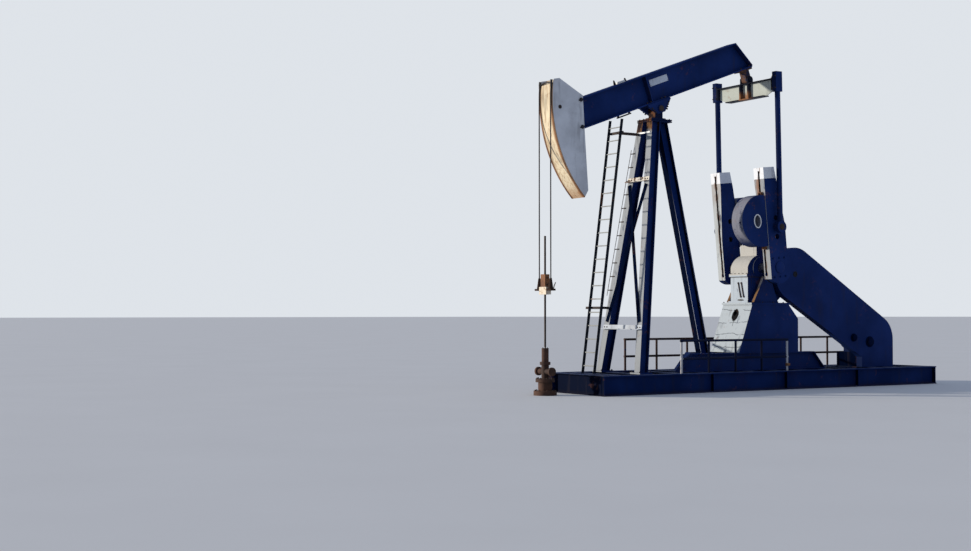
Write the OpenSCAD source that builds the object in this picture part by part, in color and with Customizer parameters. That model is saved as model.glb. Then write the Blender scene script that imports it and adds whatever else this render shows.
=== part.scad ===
// Beam pumping unit with two cranks, on a steel skid, over its wellhead.
// Millimetres. X runs along the beam: -X to the well, +X to the motor. Z is up.
// The origin is on the ground, on the centre line, under the beam's pivot.
// The unit stands at the bottom of its stroke: horsehead down, cranks up.

/* [Walking beam] */
// Height of the beam's pivot above the ground
pivot_z = 5880; // [5700:10:6100]
// Tilt of the beam at the bottom of the stroke, tail up
beam_tilt = 20.3; // [17:0.1:22]
// Height of the beam section
beam_depth = 610; // [500:10:680]
// Width of the beam's flanges
beam_width = 280; // [240:10:320]
// Thickness of the beam's flanges
beam_flange = 28; // [16:1:36]
// Thickness of the beam's web
beam_web = 20; // [12:1:30]
// Distance from the pivot axis up to the beam's underside
beam_rise = 150; // [140:5:190]
// How far before the tail bearing the top flange ends
beam_short = 140; // [100:10:200]
// How much further the bottom flange runs than the top one
beam_slant = 285; // [200:5:340]
// Distance from the ropes back to the beam's front end
beam_clear = 500; // [450:10:600]
// Place of the web's stiffener, from the pivot
beam_rib_u = -130; // [-200:10:0]
// Distance from the pivot to the tail bearing, along the beam
tail_arm = 2670; // [2600:10:2700]
// Distance of the tail bearing below the beam's underside
tail_drop = 245; // [230:5:280]

/* [Horsehead] */
// Radius from the pivot to the middle of the bridle ropes
rope_radius = 2800; // [2700:10:2900]
// Diameter of a bridle rope
rope_d = 26; // [20:1:32]
// Distance between the two bridle ropes
rope_spacing = 400; // [320:5:420]
// Width of the curved face
head_width = 450; // [430:5:480]
// Thickness of the curved face plate
head_face_t = 16; // [10:1:25]
// Thickness of a side plate
head_side_t = 14; // [8:1:20]
// Height of the face's upper end above the pivot, square to the beam
head_top_v = 1225; // [1180:5:1280]
// Depth of the face's lower end below the pivot, square to the beam
head_low_v = 1140; // [1100:5:1180]
// Diameter of the pin that carries the head
head_pin_d = 60; // [40:2:80]
// Depth of a side plate behind the ropes at its peak
head_peak_depth = 495; // [450:5:540]
// Depth of a side plate's peak below the face's upper end
head_peak_rise = 51; // [40:1:60]
// Depth of a side plate behind the ropes at the beam's top
head_back_depth = 925; // [890:5:950]
// Depth of a side plate behind the ropes at the beam's underside
head_waist_depth = 750; // [720:5:780]
// Depth of a side plate behind the ropes at its foot
head_foot_depth = 390; // [360:5:420]
// Height of a side plate's back corner above the face's lower end
head_foot_rise = 112; // [90:1:130]

/* [Bridle and rod] */
// Length of the carrier bar
carrier_l = 560; // [520:10:620]
// Width of the carrier bar
carrier_w = 120; // [100:5:160]
// Height of the carrier bar
carrier_h = 150; // [110:5:200]
// Height of the carrier bar's underside
carrier_z = 1990; // [1900:10:2100]
// Height of the ropes' lower sockets
socket_h = 210; // [180:5:240]
// Height of the rod clamp on the bar
clamp_h = 250; // [150:10:300]
// Diameter of the polished rod's sleeve
rod_d = 40; // [34:1:50]
// Diameter of the polished rod inside its sleeve
rod_core_d = 30; // [24:1:32]
// Height of the rod's top end
rod_top_z = 3150; // [2900:10:3400]
// Running clearance of shafts and rods, on the radius
running_gap = 0.05; // [0.02:0.01:0.1]

/* [Samson post] */
// Distance of the front feet before the pivot
front_foot_x = 905; // [880:5:950]
// Distance of a front foot from the centre line
front_foot_y = 640; // [600:10:680]
// Distance of the front legs' tops before the pivot
front_top_x = 170; // [150:5:200]
// Distance of a front leg's top from the centre line
front_top_y = 150; // [140:5:170]
// Distance of the rear foot behind the pivot
rear_foot_x = 1340; // [1250:10:1400]
// Distance of the rear leg's top behind the pivot
rear_top_x = 140; // [120:5:170]
// Width of a leg's flanges
leg_w = 172; // [150:2:190]
// Depth of a leg section
leg_d = 216; // [200:4:240]
// Thickness of a leg's flanges
leg_flange = 18; // [10:1:24]
// Thickness of a leg's web
leg_web = 14; // [8:1:20]
// Width of a leg's foot plate
foot_plate_w = 320; // [290:5:340]
// Thickness of a leg's foot plate
foot_plate_t = 30; // [20:1:40]
// Height of the box that joins the legs' tops
post_cap_h = 60; // [55:5:90]
// Height of the upper tie between the front legs
upper_tie_z = 4340; // [4200:10:4500]
// Height of the lower tie between the front legs
lower_tie_z = 1290; // [1200:10:1400]
// Size of the tie and brace angles
tie_w = 90; // [70:5:110]

/* [Saddle bearing] */
// Diameter of the saddle shaft
saddle_shaft_d = 150; // [120:5:180]
// Length of the bearing housing across the beam
saddle_len = 220; // [180:10:240]
// Outer diameter of the bearing housing
saddle_d = 200; // [190:2:206]
// Height of the saddle's shaft above the post's top
saddle_rise = 230; // [220:2:250]
// Thickness of a saddle cheek
cheek_t = 60; // [40:5:75]

/* [Skid] */
// Front end of the skid, before the pivot
skid_front = 2100; // [1900:10:2200]
// Rear end of the skid, behind the pivot
skid_rear = 7400; // [7200:10:7800]
// Height of the skid
skid_h = 400; // [340:10:440]
// Distance of a skid rail from the centre line
rail_y = 900; // [880:10:960]
// Width of a skid rail's flanges
rail_w = 200; // [160:5:240]
// Thickness of the skid's flanges
rail_flange = 25; // [12:1:32]
// Thickness of the skid's webs
rail_web = 16; // [8:1:24]
// Radius of a tie-down hole
tie_hole_r = 14; // [10:1:18]
// Distance of the tie-down holes from the skid's ends
tie_hole_in = 350; // [250:10:450]

/* [Riser and pedestal] */
// Front end of the riser, behind the pivot
riser_front = 230; // [150:10:300]
// Front end of the far riser beam, from the pivot
riser_far_front = 850; // [750:10:950]
// Rear end of the riser, behind the pivot
riser_rear = 4400; // [4200:10:4600]
// Height of the riser
riser_h = 380; // [340:10:420]
// Length of the riser's sloped ends
riser_slope = 340; // [250:10:400]
// Half of the riser's width
riser_y = 480; // [460:5:500]
// Width of a riser beam's flanges
riser_w = 170; // [140:5:200]
// Height of the pedestal's top above the ground
pedestal_top_z = 1800; // [1760:10:1840]
// Half of the pedestal's width
pedestal_y = 460; // [430:5:480]
// Front of the pedestal's foot, before the crankshaft
pedestal_foot = 820; // [780:10:880]
// Front of the pedestal's top, before the crankshaft
pedestal_brow = 440; // [420:10:480]
// Rear of the pedestal's top, behind the crankshaft
pedestal_rear = 630; // [600:10:650]
// Rear of the pedestal's foot, behind the crankshaft
pedestal_heel = 900; // [850:10:950]
// Height of the slant at the pedestal's rear
pedestal_slant = 300; // [250:10:350]
// Thickness of the pedestal's top plate
pedestal_plate = 45; // [30:1:60]

/* [Gear reducer] */
// Distance of the crankshaft behind the pivot
shaft_x = 2690; // [2660:10:2720]
// Height of the crankshaft above the ground
shaft_z = 2600; // [2560:10:2640]
// Diameter of the crankshaft
shaft_d = 220; // [180:5:240]
// Half of the housing's width
box_y = 270; // [240:5:290]
// Front of the housing, before the crankshaft
box_front = 390; // [375:5:410]
// Height of the joint flange above the ground
box_split_z = 2440; // [2400:10:2480]
// Length of the reducer's foot behind the crankshaft
box_rear = 460; // [440:5:480]
// Radius of the reducer's cover round the large gear
cover_r = 415; // [405:5:430]
// Reach of the bearing ribs from the centre line
rib_y = 400; // [370:5:430]
// Height of the housing's top above the ground
box_top_z = 3100; // [3060:10:3150]
// Distance of the input shaft behind the crankshaft
input_dx = 815; // [790:5:830]
// Height of the input shaft below the crankshaft
input_dz = 130; // [100:5:160]
// Radius of the housing round the input shaft
input_r = 290; // [260:5:320]
// Half of the distance over the shaft bosses
boss_y = 290; // [280:2:296]

/* [Cranks] */
// Lean of the cranks towards the well at the bottom of the stroke
crank_lean = 5.6; // [3:0.1:7]
// Distance from the crankshaft to the wrist pin
crank_r = 860; // [820:5:880]
// Distance from the crankshaft to the crank's tip
crank_tip = 2150; // [2050:10:2170]
// Distance from a crank's outer face to the centre line
crank_y = 840; // [830:5:850]
// Thickness of a crank at its tip
crank_t = 300; // [260:5:310]
// Thickness of a crank at its hub
crank_hub_t = 210; // [180:5:240]
// Width of a crank at its tip
crank_w_tip = 305; // [290:5:320]
// Distance from the crank's axis to its front edge
crank_front = 255; // [245:5:270]
// Distance from the crank's axis to its rear edge below the knee
crank_rear = 250; // [240:5:270]
// Radius of a crank's hub end
crank_hub_r = 345; // [330:5:370]
// Width of the slot along a crank's edge
track_w = 50; // [40:2:80]
// Distance from the crank's tip to the upper end of its bolt slots
track_end = 70; // [50:5:100]
// Lower end of the front bolt slot, from the crankshaft
track_low = -130; // [-160:5:-100]
// Depth of the slot along a crank's edge
track_d = 45; // [30:1:60]
// Diameter of the wrist pin holes
wrist_d = 120; // [90:5:130]
// Distance between the wrist pin holes
wrist_step = 200; // [180:5:240]

/* [Counterweights] */
// Distance from the crankshaft to a weight's middle, along the crank
weight_u = 1020; // [980:10:1050]
// Radius of a weight's round edge
weight_r = 550; // [520:5:560]
// How far the round edge's centre lies beyond the crank's edge
weight_v = 140; // [100:5:180]
// Thickness of a weight
weight_t = 320; // [280:5:325]
// How far the counterweights stand in from the cranks' outer faces
weight_in = 20; // [10:2:30]

/* [Equalizer and pitmans] */
// Distance of the pitman pins below the tail bearing
equalizer_drop = 200; // [180:5:240]
// Distance of a pitman from the centre line
pitman_y = 950; // [935:5:970]
// Width of a pitman
pitman_w = 116; // [96:2:130]
// Clearance between a crank and its pitman's bearing
wrist_gap = 10; // [6:1:15]
// Height of the equalizer beam at its middle
equalizer_h = 350; // [320:5:380]
// Height of the equalizer beam at its ends
equalizer_end_h = 230; // [200:5:260]
// Width of the equalizer beam's flanges
equalizer_w = 180; // [140:5:200]
// Diameter of the tail bearing's pin
tail_pin_d = 100; // [80:5:120]

/* [Belt guard and motor] */
// Distance of the guard's outer face from the centre line
guard_y = 470; // [440:5:480]
// Thickness of the guard
guard_t = 165; // [140:5:170]
// Radius of the guard's round end at the reducer
guard_r = 585; // [560:5:600]
// Radius of the guard's round end at the motor
guard_motor_r = 560; // [500:5:580]
// Distance of the motor shaft before the skid's rear end
motor_in = 1400; // [1300:10:1500]
// Height of the motor shaft
motor_z = 1020; // [980:10:1060]
// Radius of the motor's frame
motor_r = 250; // [220:5:280]
// Length of the motor's frame
motor_l = 620; // [540:10:700]

/* [Crank guards] */
// Distance of the guard rails from the centre line
fence_y = 930; // [915:5:960]
// Diameter of the guard pipes
fence_d = 48; // [38:2:60]
// Height of the top rail above the skid
fence_h = 660; // [600:10:760]
// Front end of the guard rails, behind the pivot
fence_front = -100; // [-300:10:0]
// Rear end of the near guard, behind the pivot
fence_near_rear = 2800; // [2600:10:3000]
// Rear end of the far guard, behind the pivot
fence_far_rear = 6750; // [6600:10:6900]

/* [Ladder] */
// Distance of the ladder's foot before the pivot
ladder_foot_x = 1600; // [1500:10:1700]
// Distance of the ladder's top before the pivot
ladder_top_x = 880; // [840:10:920]
// Height of the ladder's top
ladder_top_z = 5620; // [5500:10:5640]
// Distance of the ladder's middle from the centre line
ladder_y = 200; // [150:10:250]
// Width of the ladder
ladder_w = 400; // [340:10:440]
// Distance between the rungs
rung_step = 275; // [250:5:320]

/* [Wellhead] */
// Height of the stuffing box's top
stuffing_z = 930; // [880:10:980]
// Radius of the stuffing box
stuffing_r = 70; // [60:2:80]
// Radius of the casing head's flange
casing_flange_r = 230; // [200:5:260]
// Radius of the casing head
casing_r = 140; // [120:2:160]
// Height of the casing head
casing_h = 260; // [230:5:290]
// Radius of the tubing head's flange
tubing_flange_r = 190; // [170:5:210]
// Thickness of the tubing head's flange
tubing_flange_t = 70; // [50:2:80]
// Radius of the pumping tee
tee_r = 75; // [65:1:85]
// Height of the pumping tee's side outlets
tee_z = 470; // [450:5:500]
// Distance over the faces of the side outlets
tee_l = 500; // [440:10:560]

/* [Hidden] */
$fn = 48;
eps = 0.01;

// Places that follow from the driving sizes
post_top_z = pivot_z - saddle_rise;
cap_under_z = post_top_z - post_cap_h;
riser_top_z = skid_h + riser_h;
beam_top_v = beam_rise + beam_depth;
tail_v = beam_rise - tail_drop;
tail_x = tail_arm * cos(beam_tilt) - tail_v * sin(beam_tilt);
tail_z = pivot_z + tail_arm * sin(beam_tilt) + tail_v * cos(beam_tilt);
wrist_x = shaft_x - crank_r * sin(crank_lean);
wrist_z = shaft_z + crank_r * cos(crank_lean);
link_lean = atan2(wrist_x - tail_x, tail_z - wrist_z);
pitman_len = norm([tail_x - wrist_x, tail_z - wrist_z]) - equalizer_drop;
crank_knee = crank_tip * 0.42;
rope_face_r = rope_radius - rope_d / 2 - 5;
head_in = head_width / 2 - head_side_t;
head_above = asin(head_top_v / rope_radius);
head_below = asin(head_low_v / rope_radius);
beam_nose = rope_radius - beam_clear;
beam_tail = tail_arm - beam_short;
head_pins = [
  [head_back_depth - rope_radius - head_pin_d * 1.2, beam_top_v - head_pin_d / 2],
  [head_waist_depth - rope_radius - head_pin_d * 0.9, beam_rise + head_pin_d]
];
rod_x = -rope_radius;
core_z = 400;
tail_r = 75;
seat = 0.3;
flange_y = box_y + 15;
ladder_rail = 64;
leg_h = cap_under_z - skid_h;
motor_x = skid_rear - motor_in;
input_x = shaft_x + input_dx;
input_z = shaft_z - input_dz;

// Extrudes a shape drawn in X and Z along Y, centred on the centre line
module xz(width) {
  rotate([90, 0, 0]) linear_extrude(width, center = true) children();
}

// A cylinder along Y, centred on the centre line
module y_cyl(r, length) {
  rotate([90, 0, 0]) cylinder(r = r, h = length, center = true);
}

// Frame of the walking beam: X along the beam, origin on the pivot
module on_beam() {
  translate([0, 0, pivot_z]) rotate([0, -beam_tilt, 0]) children();
}

// Frame of the cranks: Z from the crankshaft to the tips
module on_crank() {
  translate([shaft_x, 0, shaft_z]) rotate([0, -crank_lean, 0]) children();
}

// Frame of the equalizer and pitmans: Z up along the pitmans, origin on the tail bearing
module on_link() {
  translate([tail_x, 0, tail_z]) rotate([0, -link_lean, 0]) children();
}

// A flat I section, its flanges square to Y of the drawing
module i_section(w, d, flange, web) {
  translate([-w / 2, d / 2 - flange]) square([w, flange]);
  translate([-w / 2, -d / 2]) square([w, flange]);
  translate([-web / 2, -d / 2 + flange - eps]) square([web, d - 2 * flange + 2 * eps]);
}

// A beam of I section from one point to another, its flanges facing along X
module leaning_beam(from, to, w, d, flange, web) {
  run = to - from;
  length = norm(run);
  translate(from)
    rotate([-asin(run[1] / length), atan2(run[0], run[2]), 0])
      translate([0, 0, -length * 0.05])
        linear_extrude(length * 1.1)
          rotate(90) i_section(w, d, flange, web);
}

// Keeps what lies between two heights
module between(low, high) {
  intersection() {
    children();
    translate([-20000, -20000, low]) cube([40000, 40000, high - low]);
  }
}

// A round bar between two points
module bar(from, to, d) {
  run = to - from;
  translate(from)
    rotate([0, acos(run[2] / norm(run)), atan2(run[1], run[0])])
      cylinder(d = d, h = norm(run), $fn = 16);
}

module skid_rail(side) {
  length = skid_front + skid_rear;
  color("midnightblue")
    difference() {
      union() {
        translate([-skid_front, side * rail_y, skid_h / 2])
          rotate([90, 0, 90]) linear_extrude(length) i_section(rail_w, skid_h, rail_flange, rail_web);
        for (x = [-skid_front + 10, 700, 2750, 4880, skid_rear - 30])
          translate([x, side * rail_y - rail_w / 2 + 10, rail_flange - eps])
            cube([20, rail_w - 20, skid_h - 2 * rail_flange + 2 * eps]);
      }
      for (x = [-skid_front + tie_hole_in, skid_rear - tie_hole_in])
        translate([x, side * (rail_y + rail_w / 4), -eps])
          cylinder(r = tie_hole_r, h = rail_flange + 2 * eps);
    }
}

module skid_cross_beams() {
  inner = 2 * rail_y - rail_w;
  stations = [
    -skid_front + 120, -ladder_foot_x, -front_foot_x, 0, rear_foot_x / 2, rear_foot_x,
    shaft_x - pedestal_foot + 150, shaft_x + 60, shaft_x + pedestal_heel - 100, riser_rear - 150,
    riser_rear + 580, motor_x - motor_r, motor_x + motor_r, skid_rear - 120
  ];
  color("midnightblue")
    for (x = stations)
      translate([x, 0, skid_h / 2])
        rotate([90, 0, 0]) linear_extrude(inner, center = true) i_section(180, skid_h, 20, 12);
}

// Outline of a riser beam, drawn a margin inside its edges
module riser_outline(front, inset) {
  slope = atan2(riser_h, riser_slope);
  low_in = inset / tan(slope / 2);
  high_in = riser_slope + inset * tan(slope / 2);
  polygon([
    [front + low_in, inset],
    [front + high_in, riser_h - inset],
    [riser_rear - high_in, riser_h - inset],
    [riser_rear - low_in, inset]
  ]);
}

module riser_beams() {
  color("midnightblue")
    for (side = [-1, 1], front = side < 0 ? riser_front : riser_far_front)
      translate([0, side * (riser_y - riser_w / 2), skid_h])
        difference() {
          xz(riser_w) riser_outline(front, 0);
          for (face = [-1, 1])
            translate([0, face * (riser_w + rail_web) / 2, 0]) xz(riser_w) riser_outline(front, 20);
        }
}

module pedestal() {
  foot = riser_top_z;
  color("midnightblue") {
    difference() {
      xz(2 * pedestal_y)
        polygon([
          [shaft_x - pedestal_foot, foot],
          [shaft_x - pedestal_brow, pedestal_top_z],
          [shaft_x + pedestal_rear, pedestal_top_z],
          [shaft_x + pedestal_heel, pedestal_top_z - pedestal_slant],
          [shaft_x + pedestal_heel, foot]
        ]);
      translate([shaft_x - pedestal_brow - 60, 0, pedestal_top_z - 180])
        rotate([0, 70, 0]) cylinder(r = 55, h = 160, $fn = 4, center = true);
    }
    translate([shaft_x - pedestal_brow - 30, -pedestal_y - 15, pedestal_top_z - eps])
      cube([pedestal_brow + pedestal_rear + 60, 2 * pedestal_y + 30, pedestal_plate]);
  }
}

module shaft_hole() {
  translate([shaft_x, 0, shaft_z]) y_cyl(shaft_d / 2 + running_gap, 4 * box_y);
}

module reducer_case() {
  foot = pedestal_top_z + pedestal_plate;
  color("midnightblue") {
    xz(2 * box_y)
      polygon([
        [shaft_x - box_front, foot],
        [shaft_x - box_front, box_split_z],
        [input_x + input_r, box_split_z],
        [shaft_x + box_rear - 40, foot]
      ]);
    xz(2 * rib_y)
      polygon([
        [shaft_x - 360, foot + eps],
        [shaft_x - 55, box_split_z - 30 - eps],
        [shaft_x + 150, box_split_z - 30 - eps],
        [shaft_x + 360, foot + eps]
      ]);
    translate([shaft_x - box_front - 40, -box_y - 40, foot])
      cube([box_front + box_rear + 40, 2 * box_y + 80, 35]);
    translate([shaft_x - box_front - 35, -flange_y, box_split_z - 30])
      cube([box_front + input_dx + input_r + 60, 2 * flange_y, 30]);
  }
}

module reducer_cover() {
  lean = asin((cover_r - input_r) / input_dx);
  color("midnightblue")
    difference() {
      union() {
        intersection() {
          union() {
            translate([shaft_x, 0, input_z]) y_cyl(cover_r, 2 * box_y, $fn = 96);
            translate([input_x, 0, input_z]) y_cyl(input_r, 2 * box_y, $fn = 96);
            xz(2 * box_y)
              polygon([
                [shaft_x, box_split_z],
                [shaft_x + cover_r * sin(lean), input_z + cover_r * cos(lean)],
                [input_x + input_r * sin(lean), input_z + input_r * cos(lean)],
                [input_x + input_r, box_split_z]
              ]);
          }
          translate([shaft_x - box_front, -box_y, box_split_z])
            cube([box_front + input_dx + input_r, 2 * box_y, box_top_z]);
        }
        translate([shaft_x - box_front - 35, -flange_y, box_split_z])
          cube([box_front + input_dx + input_r + 60, 2 * flange_y, 30]);
        translate([shaft_x - 120, -box_y + 15, input_z + cover_r * 0.9])
          cube([260, 2 * box_y - 30, box_top_z - input_z - cover_r * 0.9]);
        intersection() {
          translate([shaft_x, 0, shaft_z]) y_cyl(shaft_d * 1.1, 2 * boss_y);
          translate([0, -boss_y, box_split_z]) cube([2 * input_x, 2 * boss_y, box_top_z]);
        }
        translate([input_x, -(guard_y - guard_t + flange_y) / 2, input_z])
          y_cyl(50, guard_y - guard_t - flange_y);
      }
      shaft_hole();
    }
}

module front_leg(side) {
  color("midnightblue") {
    between(skid_h + foot_plate_t - eps, cap_under_z)
      leaning_beam(
        [-front_foot_x, side * front_foot_y, skid_h],
        [-front_top_x, side * front_top_y, cap_under_z],
        leg_w, leg_d, leg_flange, leg_web
      );
    translate([-front_foot_x, side * front_foot_y, skid_h + foot_plate_t / 2])
      cube([foot_plate_w, foot_plate_w, foot_plate_t], center = true);
  }
}

module rear_leg() {
  color("midnightblue") {
    between(skid_h + foot_plate_t - eps, cap_under_z)
      leaning_beam(
        [rear_foot_x, 0, skid_h], [rear_top_x, 0, cap_under_z],
        leg_w, leg_d, leg_flange, leg_web
      );
    translate([rear_foot_x, 0, skid_h + foot_plate_t / 2])
      cube([foot_plate_w, foot_plate_w, foot_plate_t], center = true);
  }
}

// Distance of a front leg's middle from the centre line at a height
function leg_y(z) = front_foot_y + (front_top_y - front_foot_y) * (z - skid_h) / leg_h;

// Place along X of the front legs' front faces at a height
function leg_front(z) =
  -front_foot_x + (front_foot_x - front_top_x) * (z - skid_h) / leg_h
  - leg_d / 2 / cos(atan2(front_foot_x - front_top_x, leg_h));

// An angle across the front legs at a height
module leg_tie(z) {
  thick = 12;
  face = leg_front(z);
  high_face = leg_front(z + tie_w);
  color("saddlebrown")
    translate([-seat, 0, 0])
      xz(2 * leg_y(z) + leg_w)
        polygon([
          [face, z], [high_face, z + tie_w], [high_face - thick, z + tie_w],
          [leg_front(z + thick) - thick, z + thick], [face - tie_w, z + thick], [face - tie_w, z]
        ]);
}

// A flat bar from one front leg up to the other
module cross_brace(side, x_shift) {
  low = lower_tie_z + tie_w + 60;
  high = upper_tie_z - 60;
  start = [leg_front(low) - x_shift, side * leg_y(low), low];
  end = [leg_front(high) - x_shift, -side * leg_y(high), high];
  run = end - start;
  color("midnightblue")
    translate(start)
      rotate([-asin(run[1] / norm(run)), atan2(run[0], run[2]), 0])
        translate([-12, -tie_w / 2, 0]) cube([12, tie_w, norm(run)]);
}

module post_cap() {
  front = front_top_x + leg_d * 0.6;
  rear = rear_top_x + leg_d * 0.5;
  half = front_top_y + leg_w / 2;
  color("saddlebrown") {
    translate([-front, -half, cap_under_z]) cube([front + rear, 2 * half, 25]);
    translate([-front, -half, post_top_z - 25]) cube([front + rear, 2 * half, 25]);
    for (y = [-half + 20, -10, half - 40])
      translate([-front + 15, y, cap_under_z + 25 - eps])
        cube([front + rear - 30, 20, post_cap_h - 50 + 2 * eps]);
  }
}

module saddle_housing() {
  base_l = saddle_d + 160;
  color("midnightblue")
    difference() {
      union() {
        translate([-base_l / 2, -saddle_len / 2, post_top_z]) cube([base_l, saddle_len, 40]);
        translate([-saddle_d / 2, -saddle_len / 2, post_top_z + 40 - eps])
          cube([saddle_d, saddle_len, pivot_z - post_top_z - 40]);
        translate([0, 0, pivot_z]) y_cyl(saddle_d / 2 - 1, saddle_len);
      }
      translate([0, 0, pivot_z]) y_cyl(saddle_shaft_d / 2 + running_gap, 2 * saddle_len);
    }
}

module ladder() {
  foot = [-ladder_foot_x, 0, skid_h];
  top = [-ladder_top_x, 0, ladder_top_z];
  run = top - foot;
  lean = atan2(run[0], run[2]);
  length = norm(run);
  rungs = floor((length - 150) / rung_step);
  color("midnightblue")
    between(skid_h, ladder_top_z)
      translate([foot[0], ladder_y, foot[2]])
        rotate([0, lean, 0]) {
          for (side = [-1, 1])
            translate([-ladder_rail / 2, side * ladder_w / 2 - 5, -20]) cube([ladder_rail, 10, length + 40]);
          for (i = [0 : rungs])
            translate([0, 0, 150 + i * rung_step])
              y_cyl(12, ladder_w, $fn = 16);
        }
}

// Place along X of the ladder's back edge at a height
function ladder_back(z) =
  -ladder_foot_x + (ladder_foot_x - ladder_top_x) * (z - skid_h) / (ladder_top_z - skid_h)
  + ladder_rail / 2 / cos(atan2(ladder_foot_x - ladder_top_x, ladder_top_z - skid_h));

// A flat bar from the ladder's back to a front leg's face
module ladder_bracket(z, y_low, y_high) {
  high = z + 50;
  translate([0, (y_low + y_high) / 2, 0])
    xz(y_high - y_low)
      polygon([
        [ladder_back(z) + seat, z], [leg_front(z) - seat, z],
        [leg_front(high) - seat, high], [ladder_back(high) + seat, high]
      ]);
}

module ladder_brackets() {
  high = ladder_top_z - 300;
  low = lower_tie_z + 415;
  inner = ladder_y - ladder_w / 2;
  outer = ladder_y + ladder_w / 2;
  color("midnightblue") {
    ladder_bracket(low, leg_y(low) + 20, leg_y(low) + 70);
    translate([ladder_back(low + 50) + seat, inner - 5, low]) cube([40, leg_y(low) - inner + 75, 50]);
    ladder_bracket(high, leg_y(high) - 30, leg_y(high) + 30);
    translate([ladder_back(high + 50) + seat, inner - 5, high]) cube([40, outer - inner + 10, 50]);
  }
}

module belt_guard() {
  run = [motor_x - input_x, motor_z - input_z];
  dir = run / norm(run);
  up = [-dir[1], dir[0]];
  foot = skid_h;
  color("midnightblue")
    translate([0, -guard_y + guard_t / 2, 0])
      difference() {
        union() {
          translate([input_x, 0, input_z]) y_cyl(guard_r, guard_t, $fn = 96);
          translate([motor_x, 0, motor_z]) y_cyl(guard_motor_r, guard_t, $fn = 96);
          xz(guard_t)
            polygon([
              [input_x, input_z] + up * guard_r,
              [motor_x, motor_z] + up * guard_motor_r,
              [motor_x, motor_z] - up * guard_motor_r,
              [input_x, input_z] - up * guard_r
            ]);
          translate([motor_x - guard_motor_r * 0.8, -guard_t / 2, foot])
            cube([guard_motor_r * 1.8, guard_t, motor_z - foot]);
        }
        translate([input_x, -guard_t, input_z]) y_cyl(45, guard_t);
      }
}

module motor() {
  start = -guard_y + guard_t + 20;
  color("midnightblue") {
    translate([motor_x, start + motor_l / 2, motor_z]) y_cyl(motor_r, motor_l);
    translate([motor_x, start + motor_l + 45, motor_z]) y_cyl(motor_r * 0.9, 90 + eps);
    translate([motor_x, start - 10 + seat / 2, motor_z]) y_cyl(30, 20 - seat);
    translate([motor_x - motor_r, start + 60, motor_z - motor_r - 40])
      cube([2 * motor_r, motor_l - 120, 120]);
    translate([motor_x + motor_r * 0.6, start + 160, motor_z - 30]) cube([motor_r * 0.8, 240, 240]);
  }
}

module motor_base() {
  top = motor_z - motor_r - 40;
  start = -guard_y + guard_t + 40;
  color("midnightblue")
    for (side = [-1, 1])
      translate([motor_x + side * motor_r - 60, start, skid_h]) cube([120, motor_l + 80, top - skid_h]);
}

module brake_drum() {
  color("midnightblue") {
    translate([input_x, flange_y + seat + 20 + 45, input_z]) y_cyl(230, 90);
    translate([input_x, flange_y + seat + 10, input_z]) y_cyl(60, 20 + eps);
  }
}

module fence_panel(side, rear) {
  posts = ceil((rear - fence_front) / 950);
  top = skid_h + fence_h;
  color("midnightblue")
    translate([0, side * fence_y, 0]) {
      for (i = [0 : posts])
        translate([fence_front + (rear - fence_front) * i / posts, 0, skid_h])
          cylinder(d = fence_d, h = fence_h, $fn = 16);
      for (z = [top, skid_h + fence_h * 0.45])
        bar([fence_front - fence_d / 2, 0, z], [rear + fence_d / 2, 0, z], fence_d);
    }
}

module wellhead() {
  outlet_t = 40;
  union_z = tee_z + 130;
  union_h = 60;
  color("saddlebrown")
    translate([rod_x, 0, 0])
      difference() {
        union() {
          cylinder(r = casing_flange_r, h = 90);
          cylinder(r = casing_r, h = casing_h);
          translate([0, 0, casing_h - eps]) cylinder(r = tubing_flange_r, h = tubing_flange_t);
          cylinder(r = tee_r, h = union_z + union_h);
          translate([0, 0, tee_z]) y_cyl(tee_r * 0.75, tee_l);
          for (side = [-1, 1])
            translate([0, side * (tee_l - outlet_t) / 2, tee_z]) y_cyl(tee_r * 1.15, outlet_t);
          translate([0, 0, union_z]) cylinder(r = tee_r * 1.4, h = union_h);
          translate([0, 0, union_z + union_h - eps])
            cylinder(r = stuffing_r, h = stuffing_z - union_z - union_h);
        }
        translate([0, 0, core_z]) cylinder(d = rod_core_d + 2 * running_gap, h = stuffing_z);
      }
}

module polished_rod() {
  color("silver")
    translate([rod_x, 0, core_z + seat]) cylinder(d = rod_core_d, h = rod_top_z - core_z - 60);
}

module rod_sleeve() {
  low = stuffing_z + 20;
  color("silver")
    translate([rod_x, 0, low])
      difference() {
        cylinder(d = rod_d, h = rod_top_z - low);
        translate([0, 0, -eps]) cylinder(d = rod_core_d + 2 * running_gap, h = rod_top_z - low - 50);
      }
}

module bridle_ropes() {
  low = carrier_z + carrier_h * 0.75 + socket_h;
  color("dimgray")
    for (side = [-1, 1])
      translate([rod_x, side * rope_spacing / 2, low]) cylinder(d = rope_d, h = pivot_z - low);
}

module carrier_bar() {
  color("saddlebrown")
    difference() {
      union() {
        translate([rod_x - carrier_w / 2, -carrier_w, carrier_z]) cube([carrier_w, 2 * carrier_w, carrier_h]);
        translate([rod_x - carrier_w / 2, -carrier_l / 2, carrier_z + carrier_h * 0.5])
          cube([carrier_w, carrier_l, carrier_h * 0.25]);
        for (side = [-1, 1])
          translate([rod_x, side * rope_spacing / 2, carrier_z + carrier_h * 0.75 - eps])
            cylinder(r1 = 50, r2 = 22, h = socket_h + eps);
      }
      translate([rod_x, 0, carrier_z - eps]) cylinder(d = rod_d, h = carrier_h + 1);
    }
}

module rod_clamp() {
  color("saddlebrown")
    difference() {
      translate([rod_x - 55, -75, carrier_z + carrier_h]) cube([110, 150, clamp_h]);
      translate([rod_x, 0, carrier_z]) cylinder(d = rod_d, h = carrier_h + clamp_h + 1);
    }
}

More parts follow.
